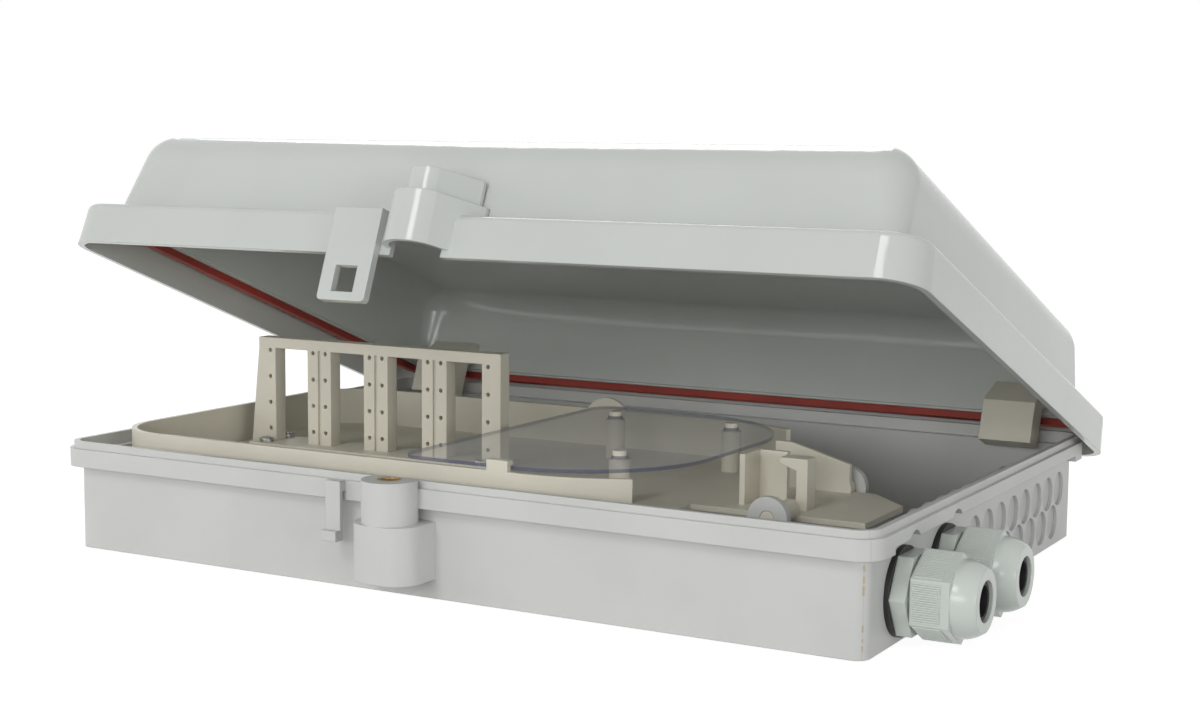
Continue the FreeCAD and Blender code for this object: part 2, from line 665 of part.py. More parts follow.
def tray_wall_outline(sketch):
    """Wall of even thickness round three sides, its ends swept inwards."""
    left, inner = TRAY_LEFT, "(%s + tray_thick)" % TRAY_LEFT
    bend = "(%s - tray_thick)" % SWEEP
    end_x = "%s + %s * tray_bow / %s" % (TRAY_BEND, bend, SWEEP)
    end_in = "(%s - %s * (%s - tray_tuck) / %s)" % (SWEEP, bend, SWEEP, SWEEP)
    outline(sketch, [
        (TRAY_END, "tray_back - tray_tuck"), (TRAY_BEND, "tray_back"),
        (left + " + tray_radius", "tray_back"), (left, "tray_back - tray_radius"),
        (left, TRAY_FRONT + " + tray_radius"), (left + " + tray_radius", TRAY_FRONT),
        (TRAY_BEND, TRAY_FRONT), (TRAY_END, TRAY_FRONT + " + tray_tuck"),
        (end_x, TRAY_FRONT + " + " + end_in), (TRAY_BEND, TRAY_FRONT + " + tray_thick"),
        (left + " + tray_radius", TRAY_FRONT + " + tray_thick"),
        (inner, TRAY_FRONT + " + tray_radius"), (inner, "tray_back - tray_radius"),
        (left + " + tray_radius", "tray_back - tray_thick"),
        (TRAY_BEND, "tray_back - tray_thick"), (end_x, "tray_back - " + end_in)],
        {0: SWEEP, 2: "tray_radius", 4: "tray_radius", 6: SWEEP, 8: bend,
         10: "(tray_radius - tray_thick)", 12: "(tray_radius - tray_thick)", 14: bend},
        hollow=(8, 10, 12, 14))


def panel_fixings(sketch, radius):
    for x in (PANEL_LEFT + " + fix_inset", PANEL_RIGHT + " - fix_inset"):
        for side in ("-", "+"):
            disc(sketch, x, "panel_y %s fix_offset" % side, radius)


def tray_guides(body):
    """Guide wall, fibre hook and back fence on the tray tongue."""
    rise = "guide_top - " + TRAY_TOP
    pad(body, "XY", TRAY_TOP, rise, lambda s: outline(s, [
        (GUIDE_LEFT, "guide_y"), (GUIDE_LEFT + " + tray_thick", "guide_y"),
        (GUIDE_LEFT + " + tray_thick", "guide_y + guide_return"),
        (GUIDE_LEFT + " + guide_run", "guide_y + guide_return"),
        (GUIDE_LEFT + " + guide_run", "guide_y + guide_return + tray_thick"),
        (GUIDE_LEFT, "guide_y + guide_return + tray_thick")]))
    left = "(rim_length / 2 - hook_set)"
    right = left + " + hook_post_width"
    top = "guide_top"
    pad(body, "XZ", "hook_post_y + hook_post_depth", "hook_post_depth", lambda s: outline(s, [
        (left, TRAY_TOP), (right, TRAY_TOP), (right, top), (left + " - hook_arm", top),
        (left + " - hook_arm", top + " - tray_thick"), (left, top + " - 2 * tray_thick")]))
    fence = "(rim_length / 2 - fence_set)"
    pad(body, "XZ", "fence_y + tray_thick", "tray_thick", lambda s: outline(s, [
        (fence, TRAY_TOP), (fence + " + fence_run", TRAY_TOP),
        (fence + " + fence_run", "fence_top - 3 * tray_thick"),
        (fence + " + hook_arm", "fence_top"), (fence, "fence_top")]))


def make_splice_tray():
    body = new_body("splice_tray")
    pad(body, "XY", "tray_floor", "tray_thick", tray_floor_outline)
    pad(body, "XY", TRAY_TOP, "tray_wall - " + TRAY_TOP, tray_wall_outline)
    half = "tab_width / 2"
    bow = "(((tab_width / 2)^2 + tab_height^2) / (2 * tab_height))"
    pad(body, "XZ", "tray_back", "tray_thick", lambda s: outline(s, [
        ("tab_x - " + half, "tray_wall"), ("tab_x + " + half, "tray_wall"),
        ("tab_x", "tray_wall + tab_height")], {1: bow, 2: bow}))
    for x, y in COVER_POSTS:
        pad(body, "XY", TRAY_TOP, "cover_rise - " + TRAY_TOP,
            lambda s, x=x, y=y: disc(s, x, y, "post_base"))
        pad(body, "XY", "cover_rise", "cover_thick + post_rise",
            lambda s, x=x, y=y: disc(s, x, y, "post_radius"))
    under = "(cover_rise + cover_thick + clip_play)"
    face = "(%s + tray_thick)" % TRAY_FRONT
    pad(body, "YZ", TRAY_BEND + " - clip_set - clip_width / 2", "clip_width", lambda s: outline(s, [
        (TRAY_FRONT, "tray_wall"), (face, "tray_wall"), (face, under),
        (COVER_FRONT + " + clip_nose", under),
        (COVER_FRONT + " + clip_nose / 2", under + " + clip_height"),
        (TRAY_FRONT, under + " + clip_height")]))
    tray_guides(body)

    def barrel(sketch):
        disc(sketch, EAR_X, "ear_rise", "barrel_radius")

    def pivot(sketch):
        disc(sketch, EAR_X, "ear_rise", "pivot_radius")

    pad(body, "XZ", "tongue_front + tray_thick",
        "tongue_front + tray_thick - ear_front - barrel_gap", barrel)
    pad(body, "XZ", "ear_front + barrel_gap", "barrel_gap + ear_thick", pivot)
    pad(body, "XZ", "ear_back - barrel_gap", "2 * tray_thick", barrel)
    pad(body, "XZ", "ear_back + ear_thick", "barrel_gap + ear_thick", pivot)
    cut(body, "XY", "tray_floor", "tray_thick",
        lambda s: panel_fixings(s, "fix_radius + fix_play"))
    return body


def make_clear_cover():
    body = new_body("clear_cover")

    def plate(sketch):
        round_box(sketch, COVER_LEFT, COVER_RIGHT, COVER_FRONT, "cover_back",
                  "cover_nick", "cover_round")
        for x, y in COVER_POSTS:
            disc(sketch, x, y, "post_radius + post_play")

    pad(body, "XY", "cover_rise", "cover_thick", plate)
    return body


def make_adapter_panel():
    """Row of open bays between posts, drilled for adapter screws."""
    body = new_body("adapter_panel")
    left, right = PANEL_LEFT, PANEL_RIGHT
    back, front = "(panel_y + panel_thick / 2)", "(panel_y - panel_thick / 2)"
    foot_top = "(%s + foot_thick)" % TRAY_TOP
    bay, bay_top = "(%s + end_width)" % PANEL_LEFT, "(panel_top - bar_height)"
    pitch = "(bay_width + post_width)"
    pad(body, "XZ", back, "panel_thick", lambda s: box(s, left, right, TRAY_TOP, "panel_top"))
    pad(body, "XY", TRAY_TOP, "foot_thick",
        lambda s: box(s, left, right, "panel_y - foot_depth / 2", "panel_y + foot_depth / 2"))
    pad(body, "XZ", back, "panel_thick", lambda s: outline(s, [
        (left, TRAY_TOP), (left, bay_top), (left + " - gusset_run", TRAY_TOP)]))
    window = cut(body, "XZ", back, "panel_thick",
                 lambda s: box(s, bay, bay + " + bay_width", foot_top, bay_top))
    repeat(body, [window], pitch + " * (bay_count - 1)", "bay_count")
    groove_x = "(%s + bay_width + post_width / 2)" % bay
    groove = cut(body, "XZ", front + " + groove_depth", "groove_depth",
                 lambda s: box(s, groove_x + " - groove_width / 2",
                               groove_x + " + groove_width / 2", foot_top, bay_top))
    repeat(body, [groove], pitch + " * (bay_count - 2)", "bay_count - 1")

    def pilots(sketch):
        for row in range(int(number("pilot_count"))):
            rise = "pilot_first + %d * pilot_pitch" % row
            disc(sketch, bay + " - pilot_inset", rise, "pilot_radius")
            disc(sketch, bay + " + bay_width + pilot_inset", rise, "pilot_radius")

    drilled = cut(body, "XZ", front + " + pilot_depth", "pilot_depth", pilots)
    repeat(body, [drilled], pitch + " * (bay_count - 1)", "bay_count")
    cut(body, "XY", TRAY_TOP, "foot_thick", lambda s: panel_fixings(s, "fix_radius + fix_play"))
    return body


def make_panel_screws():
    body = new_body("panel_screws")
    head = "%s + foot_thick" % TRAY_TOP
    pad(body, "XY", "tray_floor", "tray_thick + foot_thick",
        lambda s: panel_fixings(s, "fix_radius"))
    pad(body, "XY", head, "fix_height", lambda s: panel_fixings(s, "fix_head"))
    return body


def make_port_plugs():
    body = new_body("port_plugs")
    inside = "(%s - wall_thick)" % WALL_X
    collar = pad(body, "YZ", inside + " - plug_length", "plug_length",
                 lambda s: port_discs(s, "port_radius + plug_lip"))
    shank = pad(body, "YZ", inside, "wall_thick - plug_sink",
                lambda s: port_discs(s, "port_radius - port_play"))
    repeat(body, [collar, shank], PORT_ROW, PORT_COUNT, backwards=True)
    return body


def at_gland(body, side):
    """Moves a piece drawn about its own X axis to one of the gland holes."""
    body.setExpression("Placement.Base.x", link(WALL_X))
    body.setExpression("Placement.Base.y", link("%s %s gland_pitch / 2" % (GLAND_MID, side)))
    body.setExpression("Placement.Base.z", link("gland_rise"))


def make_gland(name, side):
    """Cable gland: washer, threaded body, seal, dome nut and lock nut."""
    hole = "(thread_radius + thread_play)"
    corner = "(gland_flats / sqrt(3))"
    seat = "(thread_radius - seal_wall)"
    washer = new_body(name + "_washer")
    turn(washer, lambda s: box(s, "0", "washer_thick", hole, corner))
    shank = new_body(name + "_body")
    pad(shank, "YZ", "washer_thick", "collar_thick", lambda s: hexagon(s, "gland_flats", False))
    turn(shank, lambda s: box(s, "-wall_thick - tail_length", NUT_END, "seal_bore + bore_step",
                              "thread_radius"))
    cut(shank, "YZ", "-wall_thick - tail_length", "wall_thick + tail_length + " + NUT_END,
        lambda s: disc(s, "0", "0", "seal_bore + bore_step"))
    cut(shank, "YZ", NUT_START, "nut_gap + nut_length", lambda s: disc(s, "0", "0", seat))
    seal = new_body(name + "_seal")
    nose = "(%s + dome_length - seal_sink)" % NUT_END
    turn(seal, lambda s: outline(s, [
        (NUT_START, "seal_bore"), (nose, "seal_bore"), (nose, "dome_mouth - seal_play"),
        (NUT_END, seat), (NUT_START, seat)]))
    nut = new_body(name + "_nut")
    pad(nut, "YZ", NUT_START, "nut_length", lambda s: hexagon(s, "gland_flats", True))
    dome = "(gland_flats / 2 - dome_set)"
    tip = "(%s + dome_length)" % NUT_END
    turn(nut, lambda s: outline(s, [
        (NUT_END, "0"), (tip, "0"), (tip, "sqrt(%s^2 - dome_length^2)" % dome),
        (NUT_END, dome)], {2: dome}))
    cut(nut, "YZ", NUT_START, "nut_length + dome_length", lambda s: disc(s, "0", "0", "dome_mouth"))
    cavity = nut.newObject("PartDesign::Groove", nut.Name + "_cavity")
    sketch = add_sketch(nut, "XY", "0")
    outline(sketch, [
        (NUT_START, "0"), (tip + " - mouth_thick", "0"), (tip + " - mouth_thick", "dome_mouth"),
        (NUT_END + " + cavity_run", hole), (NUT_START, hole)])
    cavity.Profile = sketch
    cavity.ReferenceAxis = (sketch, ["H_Axis"])
    cavity.Angle = 360
    locknut = new_body(name + "_locknut")
    inside = "-wall_thick - locknut_thick"

    def nut_ring(s):
        hexagon(s, "gland_flats", False)
        disc(s, "0", "0", hole)

    pad(locknut, "YZ", inside, "locknut_thick", nut_ring)
    pieces = [washer, shank, seal, nut, locknut]
    for piece in pieces:
        at_gland(piece, side)
    return pieces


def make_hinge_pin(name, centre):
    pin = doc.addObject("Part::Cylinder", name)
    pin.Label = name
    half = "(knuckle_width / 2 + side_gap + lug_thick)"
    pin.Placement = FreeCAD.Placement(V(0, 0, 0), FreeCAD.Rotation(V(0, 1, 0), 90))
    pin.setExpression("Radius", link("pin_radius"))
    pin.setExpression("Height", link("2 * " + half))
    pin.setExpression("Placement.Base.x", link("%s - %s" % (centre, half)))
    pin.setExpression("Placement.Base.y", link(HINGE_Y))
    pin.setExpression("Placement.Base.z", link("hinge_rise"))
    return pin


def hood_outline(sketch, radius, reach, root):
    """Round nose over the lock with a flank that runs back to the skirt."""
    slant = radius + " * sqrt(0.5)"
    outline(sketch, [
        ("lock_x + " + reach, root), ("lock_x - " + radius, root),
        ("lock_x - " + radius, LOCK_Y), ("lock_x", LOCK_Y + " - " + radius),
        ("lock_x + " + slant, LOCK_Y + " - " + slant),
        ("lock_x + " + reach, root + " - flank_end")], {2: radius, 3: radius})


def crown_outline(inset, radius):
    return lambda s: centred(s, "(%s - %s)" % (CROWN_X, inset), "(%s - %s)" % (CROWN_Y, inset), radius)


def crown_sections(foot, top, thick):
    """Foot and top of the crown; its corners open out on the way up."""
    return [(foot, crown_outline(thick, "(crown_corner - %s)" % thick)),
            (top, crown_outline("(%s + crown_draft)" % thick, "(crown_tip - %s)" % thick))]


def lid_outside(body):
    """Skirt, shoulder and hollow rounded crown, all drawn with the lid shut."""
    skirt_x, skirt_y = "(%s - skirt_draft)" % LID_X, "(%s - skirt_draft)" % LID_Y
    loft(body, "AdditiveLoft", [
        ("wall_height", lambda s: centred(s, LID_X, LID_Y, "lid_radius")),
        (SHOULDER, lambda s: centred(s, skirt_x, skirt_y, "(lid_radius - skirt_draft)"))])
    loft(body, "AdditiveLoft", crown_sections(SHOULDER, LID_TOP, "0"))
    ceiling = "(%s - lid_thick)" % LID_TOP
    loft(body, "SubtractiveLoft", crown_sections(SHOULDER_IN, ceiling, "lid_thick"))
    round_edges(body, "crown_round - lid_thick", lambda e: level_edge(e, number(ceiling)))
    round_edges(body, "crown_round", lambda e: level_edge(e, number(LID_TOP)))

    def shoulder_edge(edge):
        middle = edge.valueAt((edge.FirstParameter + edge.LastParameter) / 2)
        aside = abs(middle.x) - number(CROWN_X), abs(middle.y) - number(CROWN_Y)
        beyond = max(aside) > number("shoulder_width / 2")
        return level_edge(edge, number(SHOULDER)) and beyond

    round_edges(body, "shoulder_round", shoulder_edge)


def lid_front(body):
    """Hood, key well and hasp on the front of the skirt."""
    foot = "(wall_height + hood_lift)"
    hood = "(boss_radius + hood_play + hood_wall)"
    root = "(-%s + shoulder_width)" % LID_Y
    pad(body, "XY", foot, "hood_height - hood_lift",
        lambda s: hood_outline(s, hood, "hood_reach", root))
    pad(body, "XY", "wall_height + hood_height", "keyway_height",
        lambda s: hood_outline(s, "keyway_radius", "keyway_reach", root))
    left, right = "(hasp_x - hasp_width / 2)", "(hasp_x + hasp_width / 2)"
    pad(body, "XZ", "-%s + lid_thick" % LID_Y, "lid_thick + hasp_thick",
        lambda s: box(s, left, right, "wall_height", SHOULDER))
    pad(body, "XZ", "-%s" % LID_Y, "hasp_thick", lambda s: round_box(
        s, left, right, "wall_height - hasp_drop", "wall_height + hasp_thick", "hasp_thick / 2"))
    sill = "(wall_height - hasp_drop + window_foot)"
    cut(body, "XZ", "-%s" % LID_Y, "hasp_thick", lambda s: box(
        s, "hasp_x - hasp_window / 2", "hasp_x + hasp_window / 2", sill, sill + " + window_height"))


def lid_inside(body):
    """Hollow of the skirt, and the hollow of the lock hood."""
    cut(body, "XY", "wall_height", "skirt_height - lid_thick",
        lambda s: centred(s, "(%s - lid_thick)" % LID_X, "(%s - lid_thick)" % LID_Y,
                          "(lid_radius - lid_thick)"))
    room = "(boss_radius + hood_play)"
    cut(body, "XY", "wall_height", "boss_top + hood_play * 2 - wall_height",
        lambda s: disc(s, "lock_x", LOCK_Y, room))
    cut(body, "XY", "boss_top", "wall_height + hood_height + keyway_height - boss_top",
        lambda s: disc(s, "lock_x", LOCK_Y, "screw_radius + clip_play"))
    cut(body, "XY", "wall_height + hood_height + lid_thick", "keyway_height",
        lambda s: disc(s, "lock_x", LOCK_Y, "well_radius"))


def lid_gasket_ring(sketch, inset):
    centred(sketch, "(rim_length / 2 - %s)" % inset, "(rim_width / 2 - %s)" % inset,
            "(rim_radius - %s)" % inset)


def lid_rib(body):
    """Rib inside the gasket, standing on the crown wall."""
    outer = "(%s + gasket_width / 2 + gasket_play)" % LIP_LINE

    def ring(sketch):
        lid_gasket_ring(sketch, outer)
        lid_gasket_ring(sketch, "(%s + rib_thick)" % outer)

    pad(body, "XY", SHOULDER_IN + " - rib_drop", "rib_drop + 2 * rib_thick", ring)


def lid_knuckles(body):
    """Knuckles under the back of the skirt, bored to run on the hinge pins."""
    skirt = "(%s - skirt_draft)" % LID_Y
    top = "(wall_height + knuckle_radius)"

    def knuckle(sketch):
        outline(sketch, [
            (HINGE_Y + " - knuckle_radius", "hinge_rise"), (HINGE_Y, "hinge_rise - knuckle_radius"),
            (HINGE_Y + " + knuckle_radius", "hinge_rise"), (skirt, "wall_height"), (skirt, top),
            (skirt + " - lid_thick", top), (HINGE_Y, "hinge_rise + knuckle_radius")],
            {0: "knuckle_radius", 1: "knuckle_radius", 6: "knuckle_radius"})

    for centre in ("-" + HINGE_X, HINGE_X):
        start = centre + " - knuckle_width / 2"
        pad(body, "YZ", start, "knuckle_width", knuckle)
        cut(body, "YZ", start, "knuckle_width",
            lambda s: disc(s, HINGE_Y, "hinge_rise", "pin_radius + pin_play"))


def make_lid():
    body = new_body("lid_shell")
    lid_outside(body)
    lid_front(body)
    lid_inside(body)
    lid_rib(body)
    lid_knuckles(body)
    open_lid(body)
    return body


def make_gasket():
    body = new_body("lid_gasket")

    def ring(sketch):
        lid_gasket_ring(sketch, "(%s - gasket_width / 2)" % LIP_LINE)
        lid_gasket_ring(sketch, "(%s + gasket_width / 2)" % LIP_LINE)

    pad(body, "XY", LIP_TOP + " + gasket_gap", "%s - %s - gasket_gap" % (SHOULDER_IN, LIP_TOP), ring)
    open_lid(body)
    return body


def make_lock_screw():
    """Captive screw with a hexagon socket, held up clear of the insert."""
    body = new_body("lock_screw")
    seat = "(wall_height + hood_height + lid_thick + clip_play)"
    tip = "(boss_top + hood_play)"
    pad(body, "XY", tip, "%s - %s" % (seat, tip), lambda s: disc(s, "lock_x", LOCK_Y, "screw_radius"))
    pad(body, "XY", seat, "head_height", lambda s: disc(s, "lock_x", LOCK_Y, "screw_head"))

    def socket(s):
        side = "screw_radius"
        rise = "screw_radius * sqrt(0.75)"
        outline(s, [
            ("lock_x + " + side, LOCK_Y), ("lock_x + %s / 2" % side, LOCK_Y + " + " + rise),
            ("lock_x - %s / 2" % side, LOCK_Y + " + " + rise), ("lock_x - " + side, LOCK_Y),
            ("lock_x - %s / 2" % side, LOCK_Y + " - " + rise),
            ("lock_x + %s / 2" % side, LOCK_Y + " - " + rise)])

    cut(body, "XY", seat + " + head_height / 2", "head_height / 2", socket)
    open_lid(body)
    return body


def make_hinge_block(name, centre):
    """Block behind each hinge, seated on the back wall of the crown."""
    body = new_body(name)
    wall = "(%s - lid_thick - block_play)" % CROWN_Y
    lean = "crown_draft / crown_height"
    low, high = "(block_shoulder + block_seat)", "(block_shoulder + block_top)"

    def at(level):
        return "%s - %s * (%s - %s)" % (wall, lean, level, SHOULDER_IN)

    pad(body, "YZ", centre + " - block_width / 2", "block_width", lambda s: outline(s, [
        (BLOCK_FRONT, "block_foot"), (BLOCK_BACK, "block_foot"),
        (BLOCK_BACK, "block_shoulder"), (at(low), low), (at(high), high),
        (BLOCK_BACK + " + block_ridge", high), (BLOCK_FRONT, "block_shoulder")]))
    open_lid(body)
    return body


def build_all():
    pieces = [make_base(), make_insert(), make_splice_tray(), make_clear_cover(),
              make_adapter_panel(), make_panel_screws(), make_port_plugs()]
    pieces += make_gland("gland_front", "-")
    pieces += make_gland("gland_rear", "+")
    pieces += [make_hinge_pin("hinge_pin_left", "-" + HINGE_X),
               make_hinge_pin("hinge_pin_right", HINGE_X),
               make_lid(), make_gasket(), make_lock_screw(),
               make_hinge_block("hinge_block_left", "-%s + block_set" % RIM_END),
               make_hinge_block("hinge_block_right", "%s - block_set" % RIM_END)]
    doc.recompute()
    return pieces


pieces = build_all()
for item in doc.Objects:
    if "Invalid" in item.State or "Error" in item.State:
        raise RuntimeError("%s did not build" % item.Name)
os.makedirs("parts", exist_ok=True)
for piece in pieces:
    if piece.Shape.isNull() or not piece.Shape.isValid():
        raise RuntimeError("%s has no sound shape" % piece.Label)
    piece.Shape.exportStep("parts/%s.step" % piece.Label)
    bounds = piece.Shape.BoundBox
    print("%-20s solids %2d volume %9.1f x %7.1f %7.1f y %7.1f %7.1f z %6.1f %6.1f" % (
        piece.Label, len(piece.Shape.Solids), piece.Shape.Volume,
        bounds.XMin, bounds.XMax, bounds.YMin, bounds.YMax, bounds.ZMin, bounds.ZMax))
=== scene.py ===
"""Finishes, fine moulded details and a studio stage for a wall-mount fibre distribution box."""
import math

import bpy
from bpy.props import FloatProperty, FloatVectorProperty, IntProperty, PointerProperty
from mathutils import Matrix, Vector


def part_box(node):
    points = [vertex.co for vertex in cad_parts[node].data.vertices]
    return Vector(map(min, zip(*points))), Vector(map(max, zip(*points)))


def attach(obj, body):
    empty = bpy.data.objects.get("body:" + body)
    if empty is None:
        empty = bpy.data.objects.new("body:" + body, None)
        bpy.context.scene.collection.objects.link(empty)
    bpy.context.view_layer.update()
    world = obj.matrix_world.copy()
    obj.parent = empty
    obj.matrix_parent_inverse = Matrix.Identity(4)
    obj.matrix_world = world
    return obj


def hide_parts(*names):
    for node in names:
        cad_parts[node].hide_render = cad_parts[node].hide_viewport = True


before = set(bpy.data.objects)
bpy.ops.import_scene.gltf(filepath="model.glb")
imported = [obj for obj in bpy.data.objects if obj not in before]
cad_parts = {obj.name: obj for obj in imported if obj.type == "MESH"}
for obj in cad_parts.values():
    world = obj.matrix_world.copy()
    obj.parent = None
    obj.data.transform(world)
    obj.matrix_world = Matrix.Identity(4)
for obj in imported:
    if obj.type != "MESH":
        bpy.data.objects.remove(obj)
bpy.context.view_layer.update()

bl_info = {
    "name": "Fibre distribution box",
    "version": (1, 0, 0),
    "blender": (4, 5, 0),
    "location": "View3D > Sidebar > Fibre Box",
    "description": "Finishes, moulded details and a stage for a fibre distribution box",
    "category": "Object",
}

GLANDS = ("front", "rear")
NUT_FLATS = 6

ORIGIN = (0.0, 0.0, 0.0)
QUARTER_TURN = math.pi / 2.0
SMOOTH_ANGLE = math.radians(32.0)
# Points past this share of the way to an end of a piece belong to that end.
AT_END = 0.98
# Points closer than this share of a size are level with each other.
LEVEL = 0.01
# Sides that stand for a round.
PLUG_SIDES = 36
SCREW_SIDES = 32
THREAD_SIDES = 48
# Share of the depth of a plug's dish that each ring of its face adds, from the rim inwards.
DISH_STEPS = (0.45, 0.35, 0.20)
# Width of such a ring, as a share of the plug's radius.
DISH_RING = 0.3
# Width of a rib as a share of the pitch, and the rounding of its edges as a share of that width.
RIB_WIDTH = 0.7
RIB_ROUND = 0.35
# Half the foot of a turn of the thread, the rounding of its crest and its first place, in pitches.
TURN_FOOT = 0.45
TURN_ROUND = 0.12
TURN_START = 0.2

# Sockets of a Mix node that mixes colours.
MIX_FACTOR, MIX_FIRST, MIX_SECOND, MIX_RESULT = 0, 6, 7, 2

# Place and size of each lamp, in metres. The powers are settings of the stage.
LAMPS = {
    "key": ((-0.15, -1.75, 1.32), (0.6, 0.6)),
    "front": ((0.20, -2.10, 0.48), (1.6, 0.5)),
    "fill": ((1.95, -0.75, 0.26), (1.2, 0.45)),
    "back": ((-0.95, 1.65, 1.50), (1.4, 1.4)),
    "left": ((-1.75, -1.05, 0.46), (1.6, 0.6)),
}
LAMP_AIM = (0.0, 0.0, 0.06)
FLOOR_SIZE = 60.0
FLOOR_DROP = 0.0004
SENSOR_WIDTH = 36.0
CLIP_START = 0.01

# Small stains up the parting line of the near right corner, in metres:
# height above the back face, half their height and half their width.
STAINS = (
    (0.0272, 0.0010, 0.0008),
    (0.0238, 0.0014, 0.0007),
    (0.0206, 0.0020, 0.0009),
    (0.0096, 0.0014, 0.0007),
    (0.0060, 0.0008, 0.0005),
    (0.0035, 0.0010, 0.0006),
)


def tint(name, note, shade):
    """A colour that a user may change."""
    return FloatVectorProperty(name=name, description=note, default=shade, size=3,
                               min=0.0, max=1.0, subtype="COLOR")


def share(name, note, amount):
    """A plain amount from nothing to all."""
    return FloatProperty(name=name, description=note, default=amount,
                         min=0.0, max=1.0, subtype="FACTOR")


def length(name, note, metres):
    """A size in metres."""
    return FloatProperty(name=name, description=note, default=metres, min=0.0, precision=5,
                         subtype="DISTANCE", unit="LENGTH")


def watts(name, note, power):
    """The power of a lamp."""
    return FloatProperty(name=name, description=note, default=power, min=0.0, unit="POWER")


class BoxFinishes(bpy.types.PropertyGroup):
    """Colours and roughness of the box."""
    base_white: tint("Base", "Matt light grey of the base", (0.595, 0.60, 0.582))
    lid_white: tint("Lid", "Glossy white of the lid, a little green", (0.565, 0.59, 0.562))
    tray_cream: tint("Tray", "Cream of the splice tray and the adapter panel", (0.68, 0.65, 0.55))
    plug_grey: tint("Plugs", "Grey white of the blanking plugs", (0.56, 0.57, 0.565))
    gland_white: tint("Glands", "Glossy white of the cable glands", (0.60, 0.645, 0.60))
    gasket_red: tint("Gasket", "Dark red of the lid gasket", (0.36, 0.045, 0.03))
    rubber_black: tint("Rubber", "Black of the seals and washers", (0.012, 0.012, 0.012))
    brass: tint("Brass", "Brass of the lock insert", (0.60, 0.43, 0.20))
    steel: tint("Steel", "Plated steel of screws and pins", (0.46, 0.46, 0.45))
    cover_blue: tint("Cover edge", "Blue seen in the cut edge of the clear cover", (0.02, 0.04, 0.16))
    stain: tint("Stain", "Yellow brown of the small stains", (0.42, 0.30, 0.12))
    base_rough: share("Base roughness", "Roughness of the matt base", 0.46)
    lid_rough: share("Lid roughness", "Roughness of the glossy lid", 0.13)


class BoxDetails(bpy.types.PropertyGroup):
    """Sizes of the fine details."""
    edge: length("Edge round", "Rounding that moulded edges show", 0.0005)
    rib_pitch: length("Rib pitch", "Pitch of the ribs on the gland nuts", 0.00068)
    rib_height: length("Rib height", "Height of the ribs on the gland nuts", 0.00034)
    rib_length: length("Rib length", "Length of the ribs on the gland nuts", 0.0086)
    rib_start: length("Rib start", "Ribs from the wall end of a gland nut", 0.0007)
    rib_count: IntProperty(name="Ribs", description="Ribs on each flat of a gland nut",
                           default=18, min=1)
    thread_pitch: length("Thread pitch", "Pitch of the gland threads", 0.0015)
    thread_height: length("Thread height", "How far a turn of the gland thread stands out", 0.0004)
    thread_length: length("Thread length", "Threaded end of a gland body inside the box", 0.0114)
    thread_radius: length("Thread radius", "Radius of that end under its thread", 0.0102)
    plug_collar: length("Plug collar", "Radius of a plug inside the wall", 0.00635)
    plug_shank: length("Plug shank", "Radius of a plug in its port", 0.0061)
    plug_step: length("Plug step", "Length of that shank", 0.0013)
    plug_dish: length("Plug dish", "Depth of the dished face of a plug", 0.0007)
    plug_round: length("Plug round", "Rounding of a plug inside the box", 0.0010)
    port_pitch: length("Port pitch", "Between the plugs of a row", 0.0139)
    port_count: IntProperty(name="Ports", description="Plugs in a row", default=8, min=1)
    screw_head: length("Screw head", "Radius of a panel screw head", 0.0026)
    screw_shank: length("Screw shank", "Radius of a panel screw", 0.0014)
    screw_rise: length("Screw rise", "Height of a panel screw head", 0.0018)
    screw_round: length("Screw round", "Rounding of a panel screw head", 0.0007)
    slot_length: length("Slot length", "Length of the cross slots in a screw head", 0.0029)
    slot_width: length("Slot width", "Width of the cross slots", 0.0006)
    slot_depth: length("Slot depth", "Depth of the cross slots", 0.0009)
    corner_x: length("Corner along", "Centre of the near right corner from the middle, along the box",
                     0.147)
    corner_y: length("Corner across", "Centre of that corner from the middle, across the box",
                     0.101)
    parting: length("Parting line", "Half the width of the parting line on that corner", 0.00012)


class BoxStage(bpy.types.PropertyGroup):
    """Camera and light."""
    eye: FloatVectorProperty(name="Camera", description="Place of the camera", size=3,
                             default=(0.34975, -0.61799, 0.15066), subtype="TRANSLATION", unit="LENGTH")
    azimuth: FloatProperty(name="Azimuth", description="Camera turned round the box",
                           default=math.radians(29.17), subtype="ANGLE")
    elevation: FloatProperty(name="Elevation", description="Camera above the horizon",
                             default=math.radians(6.69), subtype="ANGLE")
    roll: FloatProperty(name="Roll", description="Camera tilted sideways",
                        default=math.radians(0.51), subtype="ANGLE")
    lens: FloatProperty(name="Lens", description="Focal length in mm on a 36 mm sensor",
                        default=58.307, min=1.0)
    sky: share("Sky", "Light from all round", 0.34)
    key: watts("Key", "Power of the small high lamp in front", 7.5)
    front: watts("Front", "Power of the lower lamp in front", 12.0)
    fill: watts("Fill", "Power of the low lamp on the right", 8.5)
    back: watts("Back", "Power of the wide high lamp behind", 26.0)
    left: watts("Left", "Power of the lamp on the left", 7.5)
    floor_bounce: share("Floor bounce", "Share of light that the floor sends back", 0.75)
    floor_shade: share("Floor shade", "Share of the floor's white that a shadow can take away", 0.25)


class Wire:
    """A shader socket that takes part in plain arithmetic."""

    def __init__(self, finish, socket):
        self.finish = finish
        self.socket = socket

    def math(self, operation, first, second):
        """A Math node on two values."""
        return self.finish.node("ShaderNodeMath", {"operation": operation}, {0: first, 1: second})

    def __add__(self, other):
        return self.math("ADD", self, other)

    __radd__ = __add__

    def __mul__(self, other):
        return self.math("MULTIPLY", self, other)

    __rmul__ = __mul__

    def __sub__(self, other):
        return self.math("SUBTRACT", self, other)

    def __rsub__(self, other):
        return self.math("SUBTRACT", other, self)

    def __pow__(self, other):
        return self.math("POWER", self, other)

    def __abs__(self):
        return self.math("ABSOLUTE", self, 0.0)


